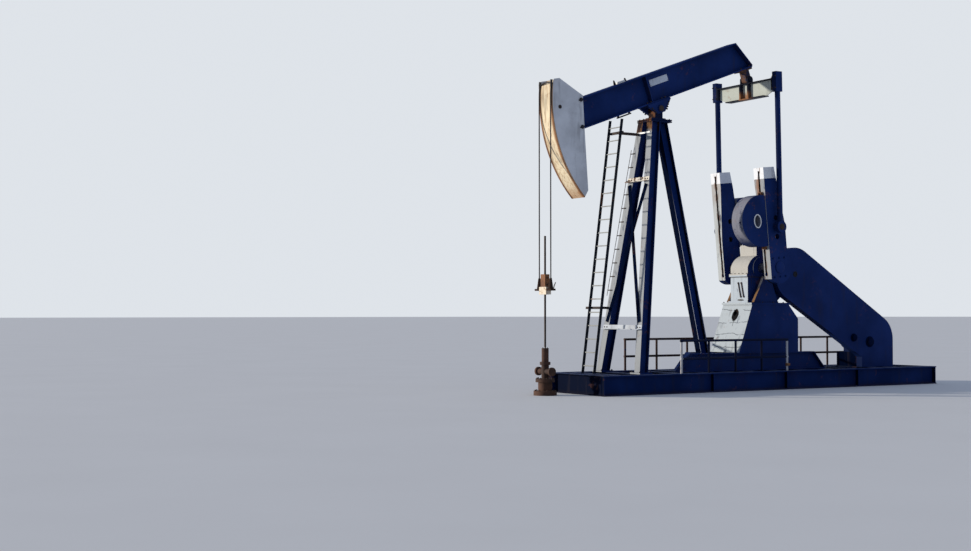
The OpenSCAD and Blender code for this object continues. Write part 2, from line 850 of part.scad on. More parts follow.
module walking_beam() {
  color("midnightblue")
    on_beam() {
      translate([-beam_nose, -beam_width / 2, beam_top_v - beam_flange])
        cube([beam_nose + beam_tail, beam_width, beam_flange]);
      translate([-beam_nose, -beam_width / 2, beam_rise])
        cube([beam_nose + beam_tail + beam_slant, beam_width, beam_flange]);
      xz(beam_web)
        polygon([
          [-beam_nose, beam_rise + beam_flange - eps],
          [-beam_nose, beam_top_v - beam_flange + eps],
          [beam_tail, beam_top_v - beam_flange + eps],
          [beam_tail + beam_slant, beam_rise + beam_flange - eps]
        ]);
      xz(beam_width)
        polygon([
          [beam_tail - 24, beam_top_v],
          [beam_tail, beam_top_v],
          [beam_tail + beam_slant + 24, beam_rise + beam_flange - eps],
          [beam_tail + beam_slant, beam_rise + beam_flange - eps]
        ]);
      translate([-beam_nose, -head_in + seat, beam_rise - 30])
        cube([25, 2 * (head_in - seat), beam_depth + 60]);
      for (place = head_pins)
        translate([place[0], 0, place[1]]) y_cyl(head_pin_d / 2, head_width + 60);
      translate([beam_rib_u, -beam_width / 2 + 4, beam_rise + beam_flange - eps])
          cube([18, beam_width - 8, beam_depth - 2 * beam_flange + 2 * eps]);
    }
}

module saddle_bracket() {
  inner = saddle_len / 2 + 3;
  color("midnightblue")
    on_beam() {
      for (side = [-1, 1])
        translate([0, side * (inner + cheek_t / 2), 0])
          xz(cheek_t)
            polygon([
              [-300, beam_rise], [330, beam_rise], [300, beam_rise - 60],
              [95, -90], [-95, -90], [-270, beam_rise - 60]
            ]);
      translate([-300, -inner - cheek_t, beam_rise - 40]) cube([630, 2 * (inner + cheek_t), 40]);
      y_cyl(saddle_shaft_d / 2, 2 * (inner + cheek_t) + 40);
    }
}

module tail_bearing() {
  color("midnightblue")
    on_beam()
      difference() {
        union() {
          translate([tail_arm, 0, tail_v]) y_cyl(tail_r, 150);
          translate([tail_arm - tail_r, -75, tail_v]) cube([2 * tail_r, 150, tail_drop - 40]);
          translate([tail_arm - 190, -110, beam_rise - 40]) cube([340, 220, 40]);
        }
        translate([tail_arm, 0, tail_v]) y_cyl(tail_pin_d / 2 + running_gap, 300);
      }
}

// Outline of a side plate behind the curved face, in the beam's frame
module head_outline() {
  far_r = rope_radius + 300;
  polygon([
    far_r * [-cos(head_above), sin(head_above)],
    far_r * [-1, 0],
    far_r * [-cos(head_below), -sin(head_below)],
    [-rope_face_r * cos(head_below), -rope_face_r * sin(head_below)],
    [head_foot_depth - rope_radius, head_foot_rise - head_low_v],
    [head_waist_depth - rope_radius, beam_rise + head_pin_d],
    [head_back_depth - rope_radius, beam_top_v + head_pin_d * 0.6],
    [head_peak_depth - rope_radius, head_top_v + head_peak_rise]
  ]);
}

// The plate from the face's upper end to the peak
module head_top_plate() {
  inner_r = rope_face_r - head_face_t;
  start = inner_r * [-cos(head_above), sin(head_above)];
  peak = [head_peak_depth - rope_radius, head_top_v + head_peak_rise];
  polygon([start, peak, peak - [0, head_side_t], start - [0, head_side_t]]);
}

module horsehead_sides() {
  color("white")
    on_beam()
      difference() {
        for (side = [-1, 1])
          translate([0, side * (head_in + head_side_t / 2), 0])
            intersection() {
              xz(head_side_t) head_outline();
              y_cyl(rope_face_r - head_face_t - 2 * seat, head_width, $fn = 180);
            }
        for (place = head_pins)
          translate([place[0], 0, place[1]]) y_cyl(head_pin_d / 2 + seat, 2 * head_width);
      }
}

module horsehead_face() {
  color("white")
    on_beam()
      rotate([90, 0, 0])
        rotate(180 - head_above)
          rotate_extrude(angle = head_above + head_below, $fn = 180)
            translate([rope_face_r - head_face_t, -head_width / 2]) square([head_face_t, head_width]);
  color("white")
    on_beam()
      xz(2 * (head_in - seat)) head_top_plate();
}

module rope_tracks() {
  color("saddlebrown")
    on_beam()
      rotate([90, 0, 0])
        rotate(180 - head_above)
          rotate_extrude(angle = head_above + head_below, $fn = 180)
            for (side = [-1, 1])
              translate([rope_face_r, side * rope_spacing / 2 - 18]) square([4, 36]);
}

// The ropes' upper ends: what lies on the head's face above the pivot's height, and its sockets
module rope_anchors() {
  turn = head_above - beam_tilt;
  socket_r = 24;
  color("dimgray")
    for (side = [-1, 1])
      translate([0, side * rope_spacing / 2, pivot_z]) {
        rotate([90, 0, 0])
          rotate(180 - turn)
            rotate_extrude(angle = turn - 0.01, $fn = 180)
              translate([rope_radius, 0]) circle(d = rope_d, $fn = 24);
        rotate([0, turn, 0]) {
          translate([-rope_radius, 0, -eps]) cylinder(r = socket_r, h = 80);
          translate([-rope_radius, -25 - side * 15, seat + 0.1]) cube([33, 50, 25]);
        }
      }
}

// Outline of the equalizer's web, seen along the beam
module equalizer_web() {
  end = pitman_y - pitman_w / 2 - 40;
  top = -tail_r - 10;
  polygon([
    [-end, top - 20], [0, top], [end, top - 20],
    [end, top - 20 - equalizer_end_h], [end * 0.7, top - equalizer_h],
    [-end * 0.7, top - equalizer_h], [-end, top - 20 - equalizer_end_h]
  ]);
}

module equalizer_beam() {
  end = pitman_y - pitman_w / 2 - 40;
  top = -tail_r - 10;
  color("whitesmoke")
    on_link() {
      rotate([90, 0, 90]) linear_extrude(16, center = true) equalizer_web();
      translate([-equalizer_w / 2, -end, top - 20]) cube([equalizer_w, 2 * end, 22]);
      translate([-equalizer_w / 2, -end * 0.7, top - equalizer_h]) cube([equalizer_w, end * 1.4, 22]);
      for (side = [-1, 1]) {
        translate([0, side * (end + 20), top - equalizer_end_h / 2])
          cube([equalizer_w, 40, equalizer_end_h + 40], center = true);
        translate([0, side * 125, top - equalizer_h / 2])
          cube([equalizer_w, 40, equalizer_h], center = true);
        translate([0, side * 105, 0]) y_cyl(75, 40);
        translate([0, side * 105, top / 2]) cube([150, 40, -top], center = true);
      }
      y_cyl(tail_pin_d / 2, 290);
    }
}

module pitman(side) {
  low = -equalizer_drop - pitman_len;
  stub = pitman_y - pitman_w / 2 - crank_y - wrist_gap;
  color("midnightblue")
    on_link()
      translate([0, side * pitman_y, 0]) {
        translate([0, 0, low]) cylinder(d = pitman_w, h = pitman_len);
        translate([-90, -pitman_w / 2, -equalizer_drop - 180]) cube([180, pitman_w, 430]);
        translate([0, 0, low]) y_cyl(125, pitman_w);
        translate([0, -side * (pitman_w + stub) / 2, low]) y_cyl(wrist_d / 2, stub);
      }
}

module crankshaft() {
  color("silver")
    translate([shaft_x, 0, shaft_z]) y_cyl(shaft_d / 2, 2 * (crank_y - crank_hub_t - seat));
}

// Distance from a crank's axis to its front edge (-1) or rear edge (1), at a distance from the crankshaft
function crank_edge(edge, u) =
  edge < 0 ? crank_front
    : crank_rear - (crank_front + crank_rear - crank_w_tip) * max(0, u - crank_knee) / (crank_tip - crank_knee);

// Outline of a crank, drawn with its hub at the origin and its tip up
module crank_outline() {
  low = -sqrt(crank_hub_r * crank_hub_r - crank_front * crank_front);
  polygon([
    [-crank_front, low], [-crank_front, crank_tip], [crank_edge(1, crank_tip), crank_tip],
    [crank_rear, crank_knee], [crank_rear, 0], [0, low]
  ]);
}

// The crank's round end, cut off at the front edge
module crank_end() {
  intersection() {
    y_cyl(crank_hub_r, crank_t, $fn = 96);
    translate([-crank_front, -crank_t, -crank_hub_r]) cube([2 * crank_hub_r, 2 * crank_t, 2 * crank_hub_r]);
  }
}

module crank(side) {
  color("midnightblue")
    on_crank()
      translate([0, side * (crank_y - crank_t / 2), 0])
        difference() {
          union() {
            xz(crank_t) crank_outline();
            crank_end();
            translate([0, -side * crank_t / 4, crank_r]) y_cyl(wrist_d * 0.75, crank_t / 2);
          }
          translate([0, -side * crank_t / 2, 0])
            rotate([0, 90, 0]) linear_extrude(4 * crank_hub_r, center = true)
              polygon([
                [2 * crank_hub_r, -side * 10],
                [2 * crank_hub_r, side * (crank_t - crank_hub_t)],
                [-crank_r + wrist_step, side * (crank_t - crank_hub_t)],
                [-crank_tip * 0.9, -side * 10]
              ]);
          translate([-crank_front - track_d, -track_w / 2, track_low])
            cube([2 * track_d, track_w, crank_tip - track_end - track_low]);
          translate([-crank_front, 0, track_low]) rotate([0, 90, 0]) cylinder(d = track_w * 1.5, h = 2.4 * track_d, center = true);
          translate([crank_rear, -track_w / 2, crank_knee])
            rotate([0, -atan2(crank_rear - crank_edge(1, crank_tip), crank_tip - crank_knee), 0])
              translate([-track_d, 0, 0]) cube([2 * track_d, track_w, crank_tip - track_end - crank_knee]);
          for (i = [-1, 1])
            translate([0, 0, crank_r + i * wrist_step]) y_cyl(wrist_d / 2, 2 * crank_t);
        }
}

module counterweight(side, edge) {
  middle = edge * (crank_edge(edge, weight_u) + weight_v);
  high = weight_u + weight_r;
  low = weight_u - weight_r;
  color("midnightblue")
    on_crank()
      translate([0, side * (crank_y - weight_in - weight_t / 2), 0])
        difference() {
          intersection() {
            translate([middle, 0, weight_u]) y_cyl(weight_r, weight_t, $fn = 96);
            xz(weight_t)
              polygon([
                [edge * (crank_edge(edge, high) + seat), high],
                [edge * (crank_edge(edge, crank_knee) + seat), crank_knee],
                [edge * (crank_edge(edge, low) + seat), low],
                [edge * 2 * weight_r + middle, low], [edge * 2 * weight_r + middle, high]
              ]);
          }
          translate([middle + edge * 115, 0, weight_u]) scale([0.65, 1, 1]) y_cyl(125, 2 * weight_t);
          translate([middle + edge * weight_r, side * weight_t * 0.28, weight_u])
            rotate([0, 90, 0]) cylinder(r = 25, h = 120, center = true);
        }
}

skid_rail(-1);  // skid_rail_near
skid_rail(1);  // skid_rail_far
skid_cross_beams();
riser_beams();
pedestal();
reducer_case();
reducer_cover();
front_leg(-1);  // front_leg_near
front_leg(1);  // front_leg_far
rear_leg();
leg_tie(lower_tie_z);  // lower_tie
leg_tie(upper_tie_z);  // upper_tie
cross_brace(-1, 13);  // brace_front
cross_brace(1, seat);  // brace_rear
post_cap();
saddle_housing();
ladder();
ladder_brackets();
belt_guard();
motor();
motor_base();
brake_drum();
fence_panel(-1, fence_near_rear);  // crank_guard_near
fence_panel(1, fence_far_rear);  // crank_guard_far
wellhead();
polished_rod();
bridle_ropes();
walking_beam();
saddle_bracket();
tail_bearing();
horsehead_sides();
horsehead_face();
rope_tracks();
rope_anchors();
equalizer_beam();
pitman(-1);  // pitman_near
pitman(1);  // pitman_far
crankshaft();
crank(-1);  // crank_near
crank(1);  // crank_far
counterweight(-1, -1);  // counterweight_near
counterweight(1, 1);  // counterweight_far
carrier_bar();
rod_clamp();
rod_sleeve();
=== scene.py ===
"""Looks for the pumpjack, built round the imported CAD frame. Metres, in the CAD's own frame."""

import math

import bpy
from mathutils import Matrix, Vector


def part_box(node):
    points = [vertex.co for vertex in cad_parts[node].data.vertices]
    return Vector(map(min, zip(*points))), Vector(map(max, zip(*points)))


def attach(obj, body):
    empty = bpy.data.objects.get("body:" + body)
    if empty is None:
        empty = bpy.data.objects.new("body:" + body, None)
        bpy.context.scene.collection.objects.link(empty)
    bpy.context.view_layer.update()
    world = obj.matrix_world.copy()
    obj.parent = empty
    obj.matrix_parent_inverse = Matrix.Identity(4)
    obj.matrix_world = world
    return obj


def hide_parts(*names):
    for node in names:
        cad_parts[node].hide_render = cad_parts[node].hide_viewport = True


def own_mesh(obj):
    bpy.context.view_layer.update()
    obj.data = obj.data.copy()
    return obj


# Camera and frame
CAMERA_PLACE = (-18.378, -22.814, 1.642)
CAMERA_YAW = 31.881
CAMERA_PITCH = 1.503
CAMERA_LENS = 51.73

camera_data = bpy.data.cameras.new("camera")
camera_data.lens = CAMERA_LENS
camera_data.sensor_width = 36.0
camera_data.clip_end = 500.0
camera = bpy.data.objects.new("camera", camera_data)
camera.location = CAMERA_PLACE
camera.rotation_euler = (math.radians(90 + CAMERA_PITCH), 0, math.radians(-CAMERA_YAW))
bpy.context.scene.collection.objects.link(camera)
bpy.context.scene.camera = camera

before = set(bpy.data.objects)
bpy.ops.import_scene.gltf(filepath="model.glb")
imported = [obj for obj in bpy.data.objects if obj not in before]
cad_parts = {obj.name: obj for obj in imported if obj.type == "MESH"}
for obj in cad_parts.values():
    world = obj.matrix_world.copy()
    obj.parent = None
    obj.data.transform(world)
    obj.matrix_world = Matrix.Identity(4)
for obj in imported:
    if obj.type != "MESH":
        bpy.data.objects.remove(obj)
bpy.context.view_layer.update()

# Places from the part's own sizes
PIVOT = Vector((0, 0, 5.88))
BEAM_TILT = math.radians(20.3)
SHAFT = Vector((2.69, 0, 2.60))
CRANK_LEAN = math.radians(5.6)
CRANK_TIP = 2.15
CRANK_CAP = 0.24
CRANK_FRONT = 0.255
CRANK_Y = 0.69
CRANK_FACE_Y = 0.8405
WEIGHT_FACE_Y = 0.8205
WEIGHT_ALONG = 1.02
WEIGHT_R = 0.575
ROD_X = -2.8
ROPE_ARM = 2.8
ROPE_R = 0.013
ROPE_Y = 0.2
TAIL = Vector((2.5371, 0, 6.7172))
LINK_LEAN = math.radians(1.2113)
PITMAN_Y = 0.95
PITMAN_FACE_Y = 1.0085
WRIST_DROP = 3.262
BEAM_LOW = 0.1785
BEAM_TOP = 0.76
HEAD_SIDE_Y = 0.225
LEG_FOOT, LEG_TOP = Vector((-0.905, 0.64, 0.4)), Vector((-0.17, 0.15, 5.59))
TIE_HEIGHTS = (1.335, 4.385)
CASE_FRONT_X = 2.2985
COVER_FLANGE_Z = 2.4705
COVER_TOP_Z = 3.1005
GUARD_Y = -0.47
GUARD_TOP = (3.502, GUARD_Y, 2.472)
BRAKE_X, BRAKE_Z = 3.505, 2.47
MOTOR_X, MOTOR_Z = 6.0, 1.02
HOLE_PLACE = (2.164, -0.015, 1.58)
FENCE_FIRST, FENCE_LAST = -0.1, 2.8
CLEAR = 0.0005  # What keeps an added piece off the CAD's faces

ON_BEAM = Matrix.Translation(PIVOT) @ Matrix.Rotation(-BEAM_TILT, 4, "Y")
ON_CRANK = Matrix.Translation(SHAFT) @ Matrix.Rotation(-CRANK_LEAN, 4, "Y")
ON_LINK = Matrix.Translation(TAIL) @ Matrix.Rotation(-LINK_LEAN, 4, "Y")
IDENTITY = Matrix.Identity(4)
UP, NEAR = (0, 0, 1), (0, -1, 0)
FRONT = Vector((-1, 0, 0))
CRANK_AXIS = ON_CRANK.to_3x3() @ Vector((0, 0, 1))
CRANK_AHEAD = ON_CRANK.to_3x3() @ FRONT


def outer_plane(node):
    """Normal and offset of a node's outermost flat face that looks to the front."""
    best = None
    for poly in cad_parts[node].data.polygons:
        if poly.normal.dot(FRONT) > 0.9 and poly.area > 0.01:
            reach = poly.center.dot(FRONT)
            if best is None or reach > best[0]:
                best = (reach, poly.normal.copy(), poly.center.dot(poly.normal))
    return best[1], best[2]


# Materials
class Nodes:
    """Short calls for a material's node tree."""

    def __init__(self, name):
        self.material = bpy.data.materials.new(name)
        self.material.use_nodes = True
        self.tree = self.material.node_tree
        self.shader = self.tree.nodes["Principled BSDF"]
        coords = self.tree.nodes.new("ShaderNodeTexCoord")
        self.place = coords.outputs["Object"]
        self.normal = coords.outputs["Normal"]

    def new(self, kind, **inputs):
        """A node whose inputs are given by name, or by number as i0, i1 and so on."""
        node = self.tree.nodes.new(kind)
        for key, value in inputs.items():
            numbered = key[0] == "i" and key[1:].isdigit()
            self.set(node.inputs[int(key[1:])] if numbered else node.inputs[key], value)
        return node

    def set(self, socket, value):
        if isinstance(value, bpy.types.NodeSocket):
            self.tree.links.new(value, socket)
        elif socket.type == "RGBA":
            socket.default_value = (*value, 1.0)
        else:
            socket.default_value = value

    def noise(self, scale, detail=4.0, stretch=(1, 1, 1), rough=0.55):
        mapping = self.new("ShaderNodeMapping", Vector=self.place)
        mapping.inputs["Scale"].default_value = stretch
        cloud = self.new(
            "ShaderNodeTexNoise", Vector=mapping.outputs[0],
            Scale=scale, Detail=detail, Roughness=rough,
        )
        return cloud.outputs["Fac"]

    def ramp(self, value, low, high):
        """Zero at low and one at high, smooth between them."""
        node = self.new("ShaderNodeMapRange", Value=value)
        node.interpolation_type = "SMOOTHSTEP"
        node.inputs["From Min"].default_value = low
        node.inputs["From Max"].default_value = high
        return node.outputs[0]

    def math(self, kind, a, b=0.0, c=0.0):
        node = self.new("ShaderNodeMath", i0=a, i1=b, i2=c)
        node.operation = kind
        return node.outputs[0]

    def vector(self, kind, a, b=(0, 0, 0)):
        node = self.new("ShaderNodeVectorMath", i0=a, i1=b)
        node.operation = kind
        return node

    def mix(self, factor, a, b):
        node = self.tree.nodes.new("ShaderNodeMix")
        node.data_type = "RGBA"
        for index, value in ((0, factor), (6, a), (7, b)):
            self.set(node.inputs[index], value)
        return node.outputs[2]

    def shifted(self, value, noise, amount):
        """A value with some noise added."""
        return self.math("MULTIPLY_ADD", noise, amount, value)

    def times(self, *values):
        result = values[0]
        for value in values[1:]:
            result = self.math("MULTIPLY", result, value)
        return result

    def dot(self, vector, direction):
        return self.vector("DOT_PRODUCT", vector, direction).outputs["Value"]

    def along(self, direction):
        return self.dot(self.place, direction)

    def height(self):
        return self.along((0, 0, 1))

    def across(self):
        return self.along((0, 1, 0))

    def from_middle(self):
        """Distance from the part's middle plane."""
        return self.math("ABSOLUTE", self.across())

    def to_front(self):
        """How far a face looks to the front, from nought to one."""
        return self.math("MAXIMUM", self.dot(self.normal, FRONT), 0.0)

    def on_front(self, least=0.7):
        """One on faces that look to the front."""
        return self.math("GREATER_THAN", self.dot(self.normal, FRONT), least)

    def band(self, value, middle, half, soft=0.002):
        """One where a value lies within half of the middle, with a soft edge."""
        off = self.math("ABSOLUTE", self.math("SUBTRACT", value, middle))
        return self.ramp(off, half + soft, half - soft)

    def on_plane(self, plane):
        """One on the outermost face that a plane's normal and offset give."""
        normal, offset = plane
        near = self.math("GREATER_THAN", self.along(normal), offset - 0.004)
        facing = self.math("GREATER_THAN", self.dot(self.normal, normal), 0.8)
        return self.math("MULTIPLY", near, facing)

    def end(self, colour, roughness, height, strength=0.25, distance=0.004):
        """Sets the shader's colour, roughness and bump, and gives the material."""
        self.set(self.shader.inputs["Base Color"], colour)
        self.set(self.shader.inputs["Roughness"], roughness)
        node = self.new("ShaderNodeBump", Height=height, Strength=strength, Distance=distance)
        self.set(self.shader.inputs["Normal"], node.outputs[0])
        return self.material


NAVY = (0.0058, 0.0215, 0.108)
# Pale chalky colour for front faces: partly sun-faded paint, partly a painted highlight of the low
# sun.
CHALK_AND_GLARE = (0.30, 0.32, 0.34)
CREAM = (0.62, 0.53, 0.38)
RUST = (0.20, 0.075, 0.028)
DARK_RUST = (0.055, 0.022, 0.012)
CRUST = (0.018, 0.009, 0.010)
# Near black, for oil stains and for painted shade in the cranks' slots.
OIL_AND_SHADE_BLACK = (0.006, 0.005, 0.006)
CAP_WHITE = (0.78, 0.80, 0.84)
DARK_PAINT = 0.2  # The brightest channel of what counts as dark


def aged(n, colour, rust):
    """Adds dirt runs and rust spots to a colour and gives back the colour and the rust's mask."""
    runs = n.noise(7.0, 5.0, (1, 1, 0.13))
    colour = n.mix(n.times(n.ramp(runs, 0.54, 0.76), 0.4), colour, (0.03, 0.025, 0.03))
    spots = n.ramp(n.times(n.noise(9.0, 8.0, rough=0.7), n.noise(2.1, 3.0)), 0.33, 0.40)
    rusted = n.times(spots, rust)
    return n.mix(rusted, colour, RUST), rusted


def paint(
    name, base=NAVY, rust=0.25, chalk=CHALK_AND_GLARE, faces=(), rough=0.45, extra=None, shine=0.06
):
    """Old paint with faint fading, dirt and rust; where dark, it is painted darker on faces that
    look to the front, a painted shade; pale chalky paint, partly sun-faded and partly a painted
    highlight of the low sun, lies only on the faces that are named.
    """
    n = Nodes(name)
    tone = n.noise(1.3, 5.0)
    fine = n.noise(38.0, 4.0)
    faded = tuple(c * 1.5 + 0.003 for c in base)
    colour = n.mix(n.ramp(tone, 0.3, 0.75), base, faded)
    stains = n.times(n.ramp(n.noise(0.9, 6.0, rough=0.65), 0.56, 0.74), 0.3)
    colour = n.mix(stains, colour, (0.045, 0.02, 0.05))
    shade_and_matte = n.to_front()
    if max(base) < DARK_PAINT:  # Painted shade: dark paint is painted darker on faces that look to the front
        colour = n.mix(n.times(shade_and_matte, 0.7), colour, tuple(c * 0.15 for c in base))
    # Pale chalky paint on the named faces: partly sun-faded, partly a painted highlight of the low
    # sun.
    for plane in faces:
        worn = n.ramp(n.noise(5.0, 7.0, (1, 1, 0.3), 0.7), 0.28, 0.42)
        mask = n.times(n.on_plane(plane), worn)
        colour = n.mix(mask, colour, chalk)
        shade_and_matte = n.math("MAXIMUM", shade_and_matte, mask)
    if extra:
        colour = extra(n, colour, fine)
    colour, rusted = aged(n, colour, rust)
    shade_and_matte = n.math("MAXIMUM", rusted, shade_and_matte)
    n.shader.inputs["Specular IOR Level"].default_value = shine
    return n.end(colour, n.shifted(rough, shade_and_matte, 0.35), n.math("ADD", fine, n.times(rusted, 2.0)))


def rusty(name, dark=DARK_RUST, light=RUST, paint_left=None, left=0.5):
    """Rusted steel with what is left of its paint."""
    n = Nodes(name)
    big, small = n.noise(3.2, 6.0), n.noise(30.0, 6.0, rough=0.7)
    colour = n.mix(n.ramp(n.shifted(big, small, 0.5), 0.55, 0.95), dark, light)
    if paint_left:
        patches = n.ramp(n.noise(5.0, 8.0, rough=0.7), left, left + 0.06)
        colour = n.mix(patches, colour, paint_left)
    return n.end(colour, 0.86, n.math("ADD", small, big), 0.5, 0.006)


def metal(name, colour, rough):
    """Bare worked steel with fine lines along its length."""
    n = Nodes(name)
    lines = n.noise(60.0, 3.0, (1, 1, 0.05))
    n.shader.inputs["Metallic"].default_value = 1.0
    worn = n.mix(n.ramp(n.noise(4.0), 0.4, 0.7), colour, tuple(c * 0.55 for c in colour))
    return n.end(worn, n.shifted(rough, lines, 0.2), lines, 0.15, 0.001)


def leg_extra(n, colour, fine):
    """Rust on the front flange just under the cap."""
    wavy = n.shifted(n.height(), n.noise(4.0, 6.0), 0.3)
    top = n.times(n.ramp(wavy, 5.5, 5.6), n.to_front())
    patches = n.ramp(n.noise(9.0, 6.0, (1, 1, 0.4), 0.7), 0.47, 0.62)
    return n.mix(top, colour, n.mix(patches, CRUST, (0.14, 0.068, 0.028)))


def rear_leg_extra(n, colour, fine):
    """Front flange painted dark, a painted shade, with a painted highlight along one of its edges
    that fades out above about 3.2 m.
    """
    facing = n.on_front()
    # Painted shade on the front flange.
    colour = n.mix(facing, colour, (0.0025, 0.005, 0.018))
    # Painted highlight along the flange's near edge, low down.
    edge = n.times(n.band(n.across(), -0.0835, 0.0045), n.ramp(n.height(), 4.3, 3.2), facing)
    return n.mix(edge, colour, (0.42, 0.47, 0.58))


def weathered_front(n, colour, fine):
    """Rust on what looks to the weather side."""
    facing = n.ramp(n.dot(n.normal, FRONT), 0.2, 0.7)
    patches = n.ramp(n.noise(8.0, 6.0, rough=0.7), 0.42, 0.6)
    mottled = n.mix(patches, CRUST, (0.13, 0.055, 0.026))
    return n.mix(n.times(facing, n.ramp(n.noise(5.0, 5.0), 0.34, 0.44)), colour, mottled)


def carrier_extra(n, colour, fine):
    """Streaked pale middle block between dark plates and sockets."""
    outer = n.math("GREATER_THAN", n.from_middle(), 0.122)
    streaks = n.times(n.ramp(n.noise(14.0, 5.0), 0.5, 0.62), 0.6)
    colour = n.mix(streaks, colour, (0.25, 0.12, 0.05))
    return n.mix(outer, colour, (0.04, 0.025, 0.02))


def crank_extra(side):
    def change(n, colour, fine):
        """White tip, brown streak under it, and the inside of the slot down the middle of the edge
        painted near black, a painted shade.
        """
        start = SHAFT.dot(CRANK_AXIS) + CRANK_TIP - CRANK_CAP
        along = n.along(CRANK_AXIS)
        across = n.math("SUBTRACT", n.across(), side * CRANK_Y)
        facing = n.on_front()
        streaks = n.ramp(n.noise(6.0, 5.0, (1, 1, 0.2)), 0.42, 0.55)
        under = n.times(n.ramp(along, start - 0.75, start - 0.1), streaks, facing)
        colour = n.mix(n.times(under, 0.9 if side < 0 else 0.25), colour, (0.27, 0.15, 0.10))
        tip = n.math("GREATER_THAN", along, n.shifted(start - 0.01, fine, 0.02))
        colour = n.mix(tip, colour, CAP_WHITE)
        lips = n.band(n.math("ABSOLUTE", across), 0.034, 0.011, 0.006)
        beside = n.times(lips, facing, n.ramp(n.noise(9.0, 6.0), 0.4, 0.6))
        colour = n.mix(n.times(beside, 0.8), colour, (0.16, 0.08, 0.04))
        # Painted shade: the slot's inside is painted near black.
        slot = n.band(across, 0.0, 0.0262, 0.0006)
        floor_at = SHAFT.dot(CRANK_AHEAD) + CRANK_FRONT - 0.004
        inside = n.math("LESS_THAN", n.along(CRANK_AHEAD), floor_at)
        return n.mix(n.times(slot, inside), colour, OIL_AND_SHADE_BLACK)
    return change


def ladder_extra(n, colour, fine):
    """Rungs painted pale between dark rails: a painted highlight of the sun on the rungs."""
    return n.mix(n.band(n.across(), 0.2, 0.185), colour, (0.34, 0.35, 0.34))


def face_extra(n, colour, fine):
    """Rust along the rope tracks and at the horsehead's lower end."""
    wobble = n.noise(3.0, 6.0, rough=0.65)
    edge = n.ramp(n.shifted(n.from_middle(), wobble, 0.08), 0.165, 0.215)
    streak = n.times(n.ramp(n.noise(26.0, 5.0, (1, 1, 0.08)), 0.46, 0.62), 0.45)
    colour = n.mix(n.math("MAXIMUM", n.times(edge, 0.75), streak), colour, (0.30, 0.15, 0.055))
    low = n.ramp(n.shifted(n.height(), wobble, -0.5), 4.05, 3.7)
    return n.mix(n.times(low, 0.5), colour, (0.36, 0.14, 0.045))


def web_extra(n, colour, fine):
    """Cream web between dark flanges and stiffeners, partly pale paint and partly a painted
    highlight of the low sun, with rust low in the middle.
    """
    into = ON_LINK.to_3x3() @ Vector((1, 0, 0))
    flat = n.math("GREATER_THAN", n.math("ABSOLUTE", n.dot(n.normal, into)), 0.9)
    web = n.times(n.band(n.along(into), TAIL.dot(into), 0.016), flat)
    # Cream on the web's flat faces: partly pale paint, partly a painted highlight of the low sun.
    colour = n.mix(web, colour, (0.44, 0.47, 0.43))
    middle = n.times(n.band(n.across(), 0.0, 0.16, 0.04), n.ramp(n.height(), 6.50, 6.36))
    rusted = n.times(middle, n.ramp(n.noise(7.0, 6.0), 0.35, 0.5), 0.9)
    return n.mix(rusted, colour, (0.26, 0.12, 0.055))


def pedestal_extra(n, colour, fine):
    """Thin wavy dark lines across a pale front, painted shadows, and oil in and round its hole."""
    facing = n.on_front()
    wavy = n.shifted(n.height(), n.noise(3.2, 5.0, (1, 1, 0.6), 0.6), 0.16)
    broken = n.ramp(n.noise(5.0, 3.0), 0.36, 0.46)
    # Painted shadows: thin wavy dark lines across the front.
    for level in (0.97, 1.25, 1.50, 1.77):
        line = n.times(n.band(wavy, level, 0.007, 0.004), facing, broken, 0.75)
        colour = n.mix(line, colour, (0.04, 0.045, 0.06))
    off = n.vector("SUBTRACT", n.place, HOLE_PLACE).outputs[0]
    squeezed = n.vector("MULTIPLY", off, (0.3, 1, 0.75)).outputs[0]
    away = n.vector("LENGTH", squeezed).outputs["Value"]
    oil = n.ramp(n.shifted(away, n.noise(14.0, 4.0), 0.05), 0.135, 0.115)
    narrow = n.band(n.across(), HOLE_PLACE[1], 0.006, 0.004)
    drip = n.times(narrow, n.band(n.height(), 1.43, 0.09), facing)
    return n.mix(n.math("MAXIMUM", oil, drip), colour, OIL_AND_SHADE_BLACK)


def rim_extra(n, colour, fine):
    """The rim of a counterweight, paler where it faces the low sun: a painted highlight, partly
    sun-bleached paint.
    """
    lit = n.ramp(n.dot(n.normal, (-0.97, 0, 0.2)), 0.2, 0.75)
    patches = n.ramp(n.noise(8.0, 6.0, rough=0.7), 0.25, 0.5)
    return n.mix(n.times(lit, patches), colour, (0.20, 0.205, 0.25))


def skid_extra(n, colour, fine):
    """Pale upper edge, a painted highlight broken up by noise, a little dirt at the ground and a
    front end painted dark, a painted shade.
    """
    height = n.height()
    # Painted highlight along the upper edge.
    worn = n.times(n.ramp(height, 0.385, 0.399), n.ramp(n.noise(6.0, 6.0), 0.3, 0.6), 0.5)
    colour = n.mix(worn, colour, (0.12, 0.15, 0.24))
    dirt = n.times(n.ramp(n.shifted(height, fine, 0.08), 0.12, 0.03), 0.6)
    colour = n.mix(dirt, colour, (0.05, 0.035, 0.03))
    # Painted shade: the front end is painted near black.
    return n.mix(n.times(n.on_front(), 0.8), colour, (0.001, 0.003, 0.012))


def fence_extra(n, colour, fine):
    """Pale end posts on a rail of old blue pipe."""
    along = n.along((1, 0, 0))
    upright = n.math("LESS_THAN", n.height(), 1.03)
    first, last = n.band(along, FENCE_FIRST, 0.03), n.band(along, FENCE_LAST, 0.03)
    ends = n.times(n.math("MAXIMUM", first, last), upright)
    return n.mix(ends, colour, (0.46, 0.46, 0.48))


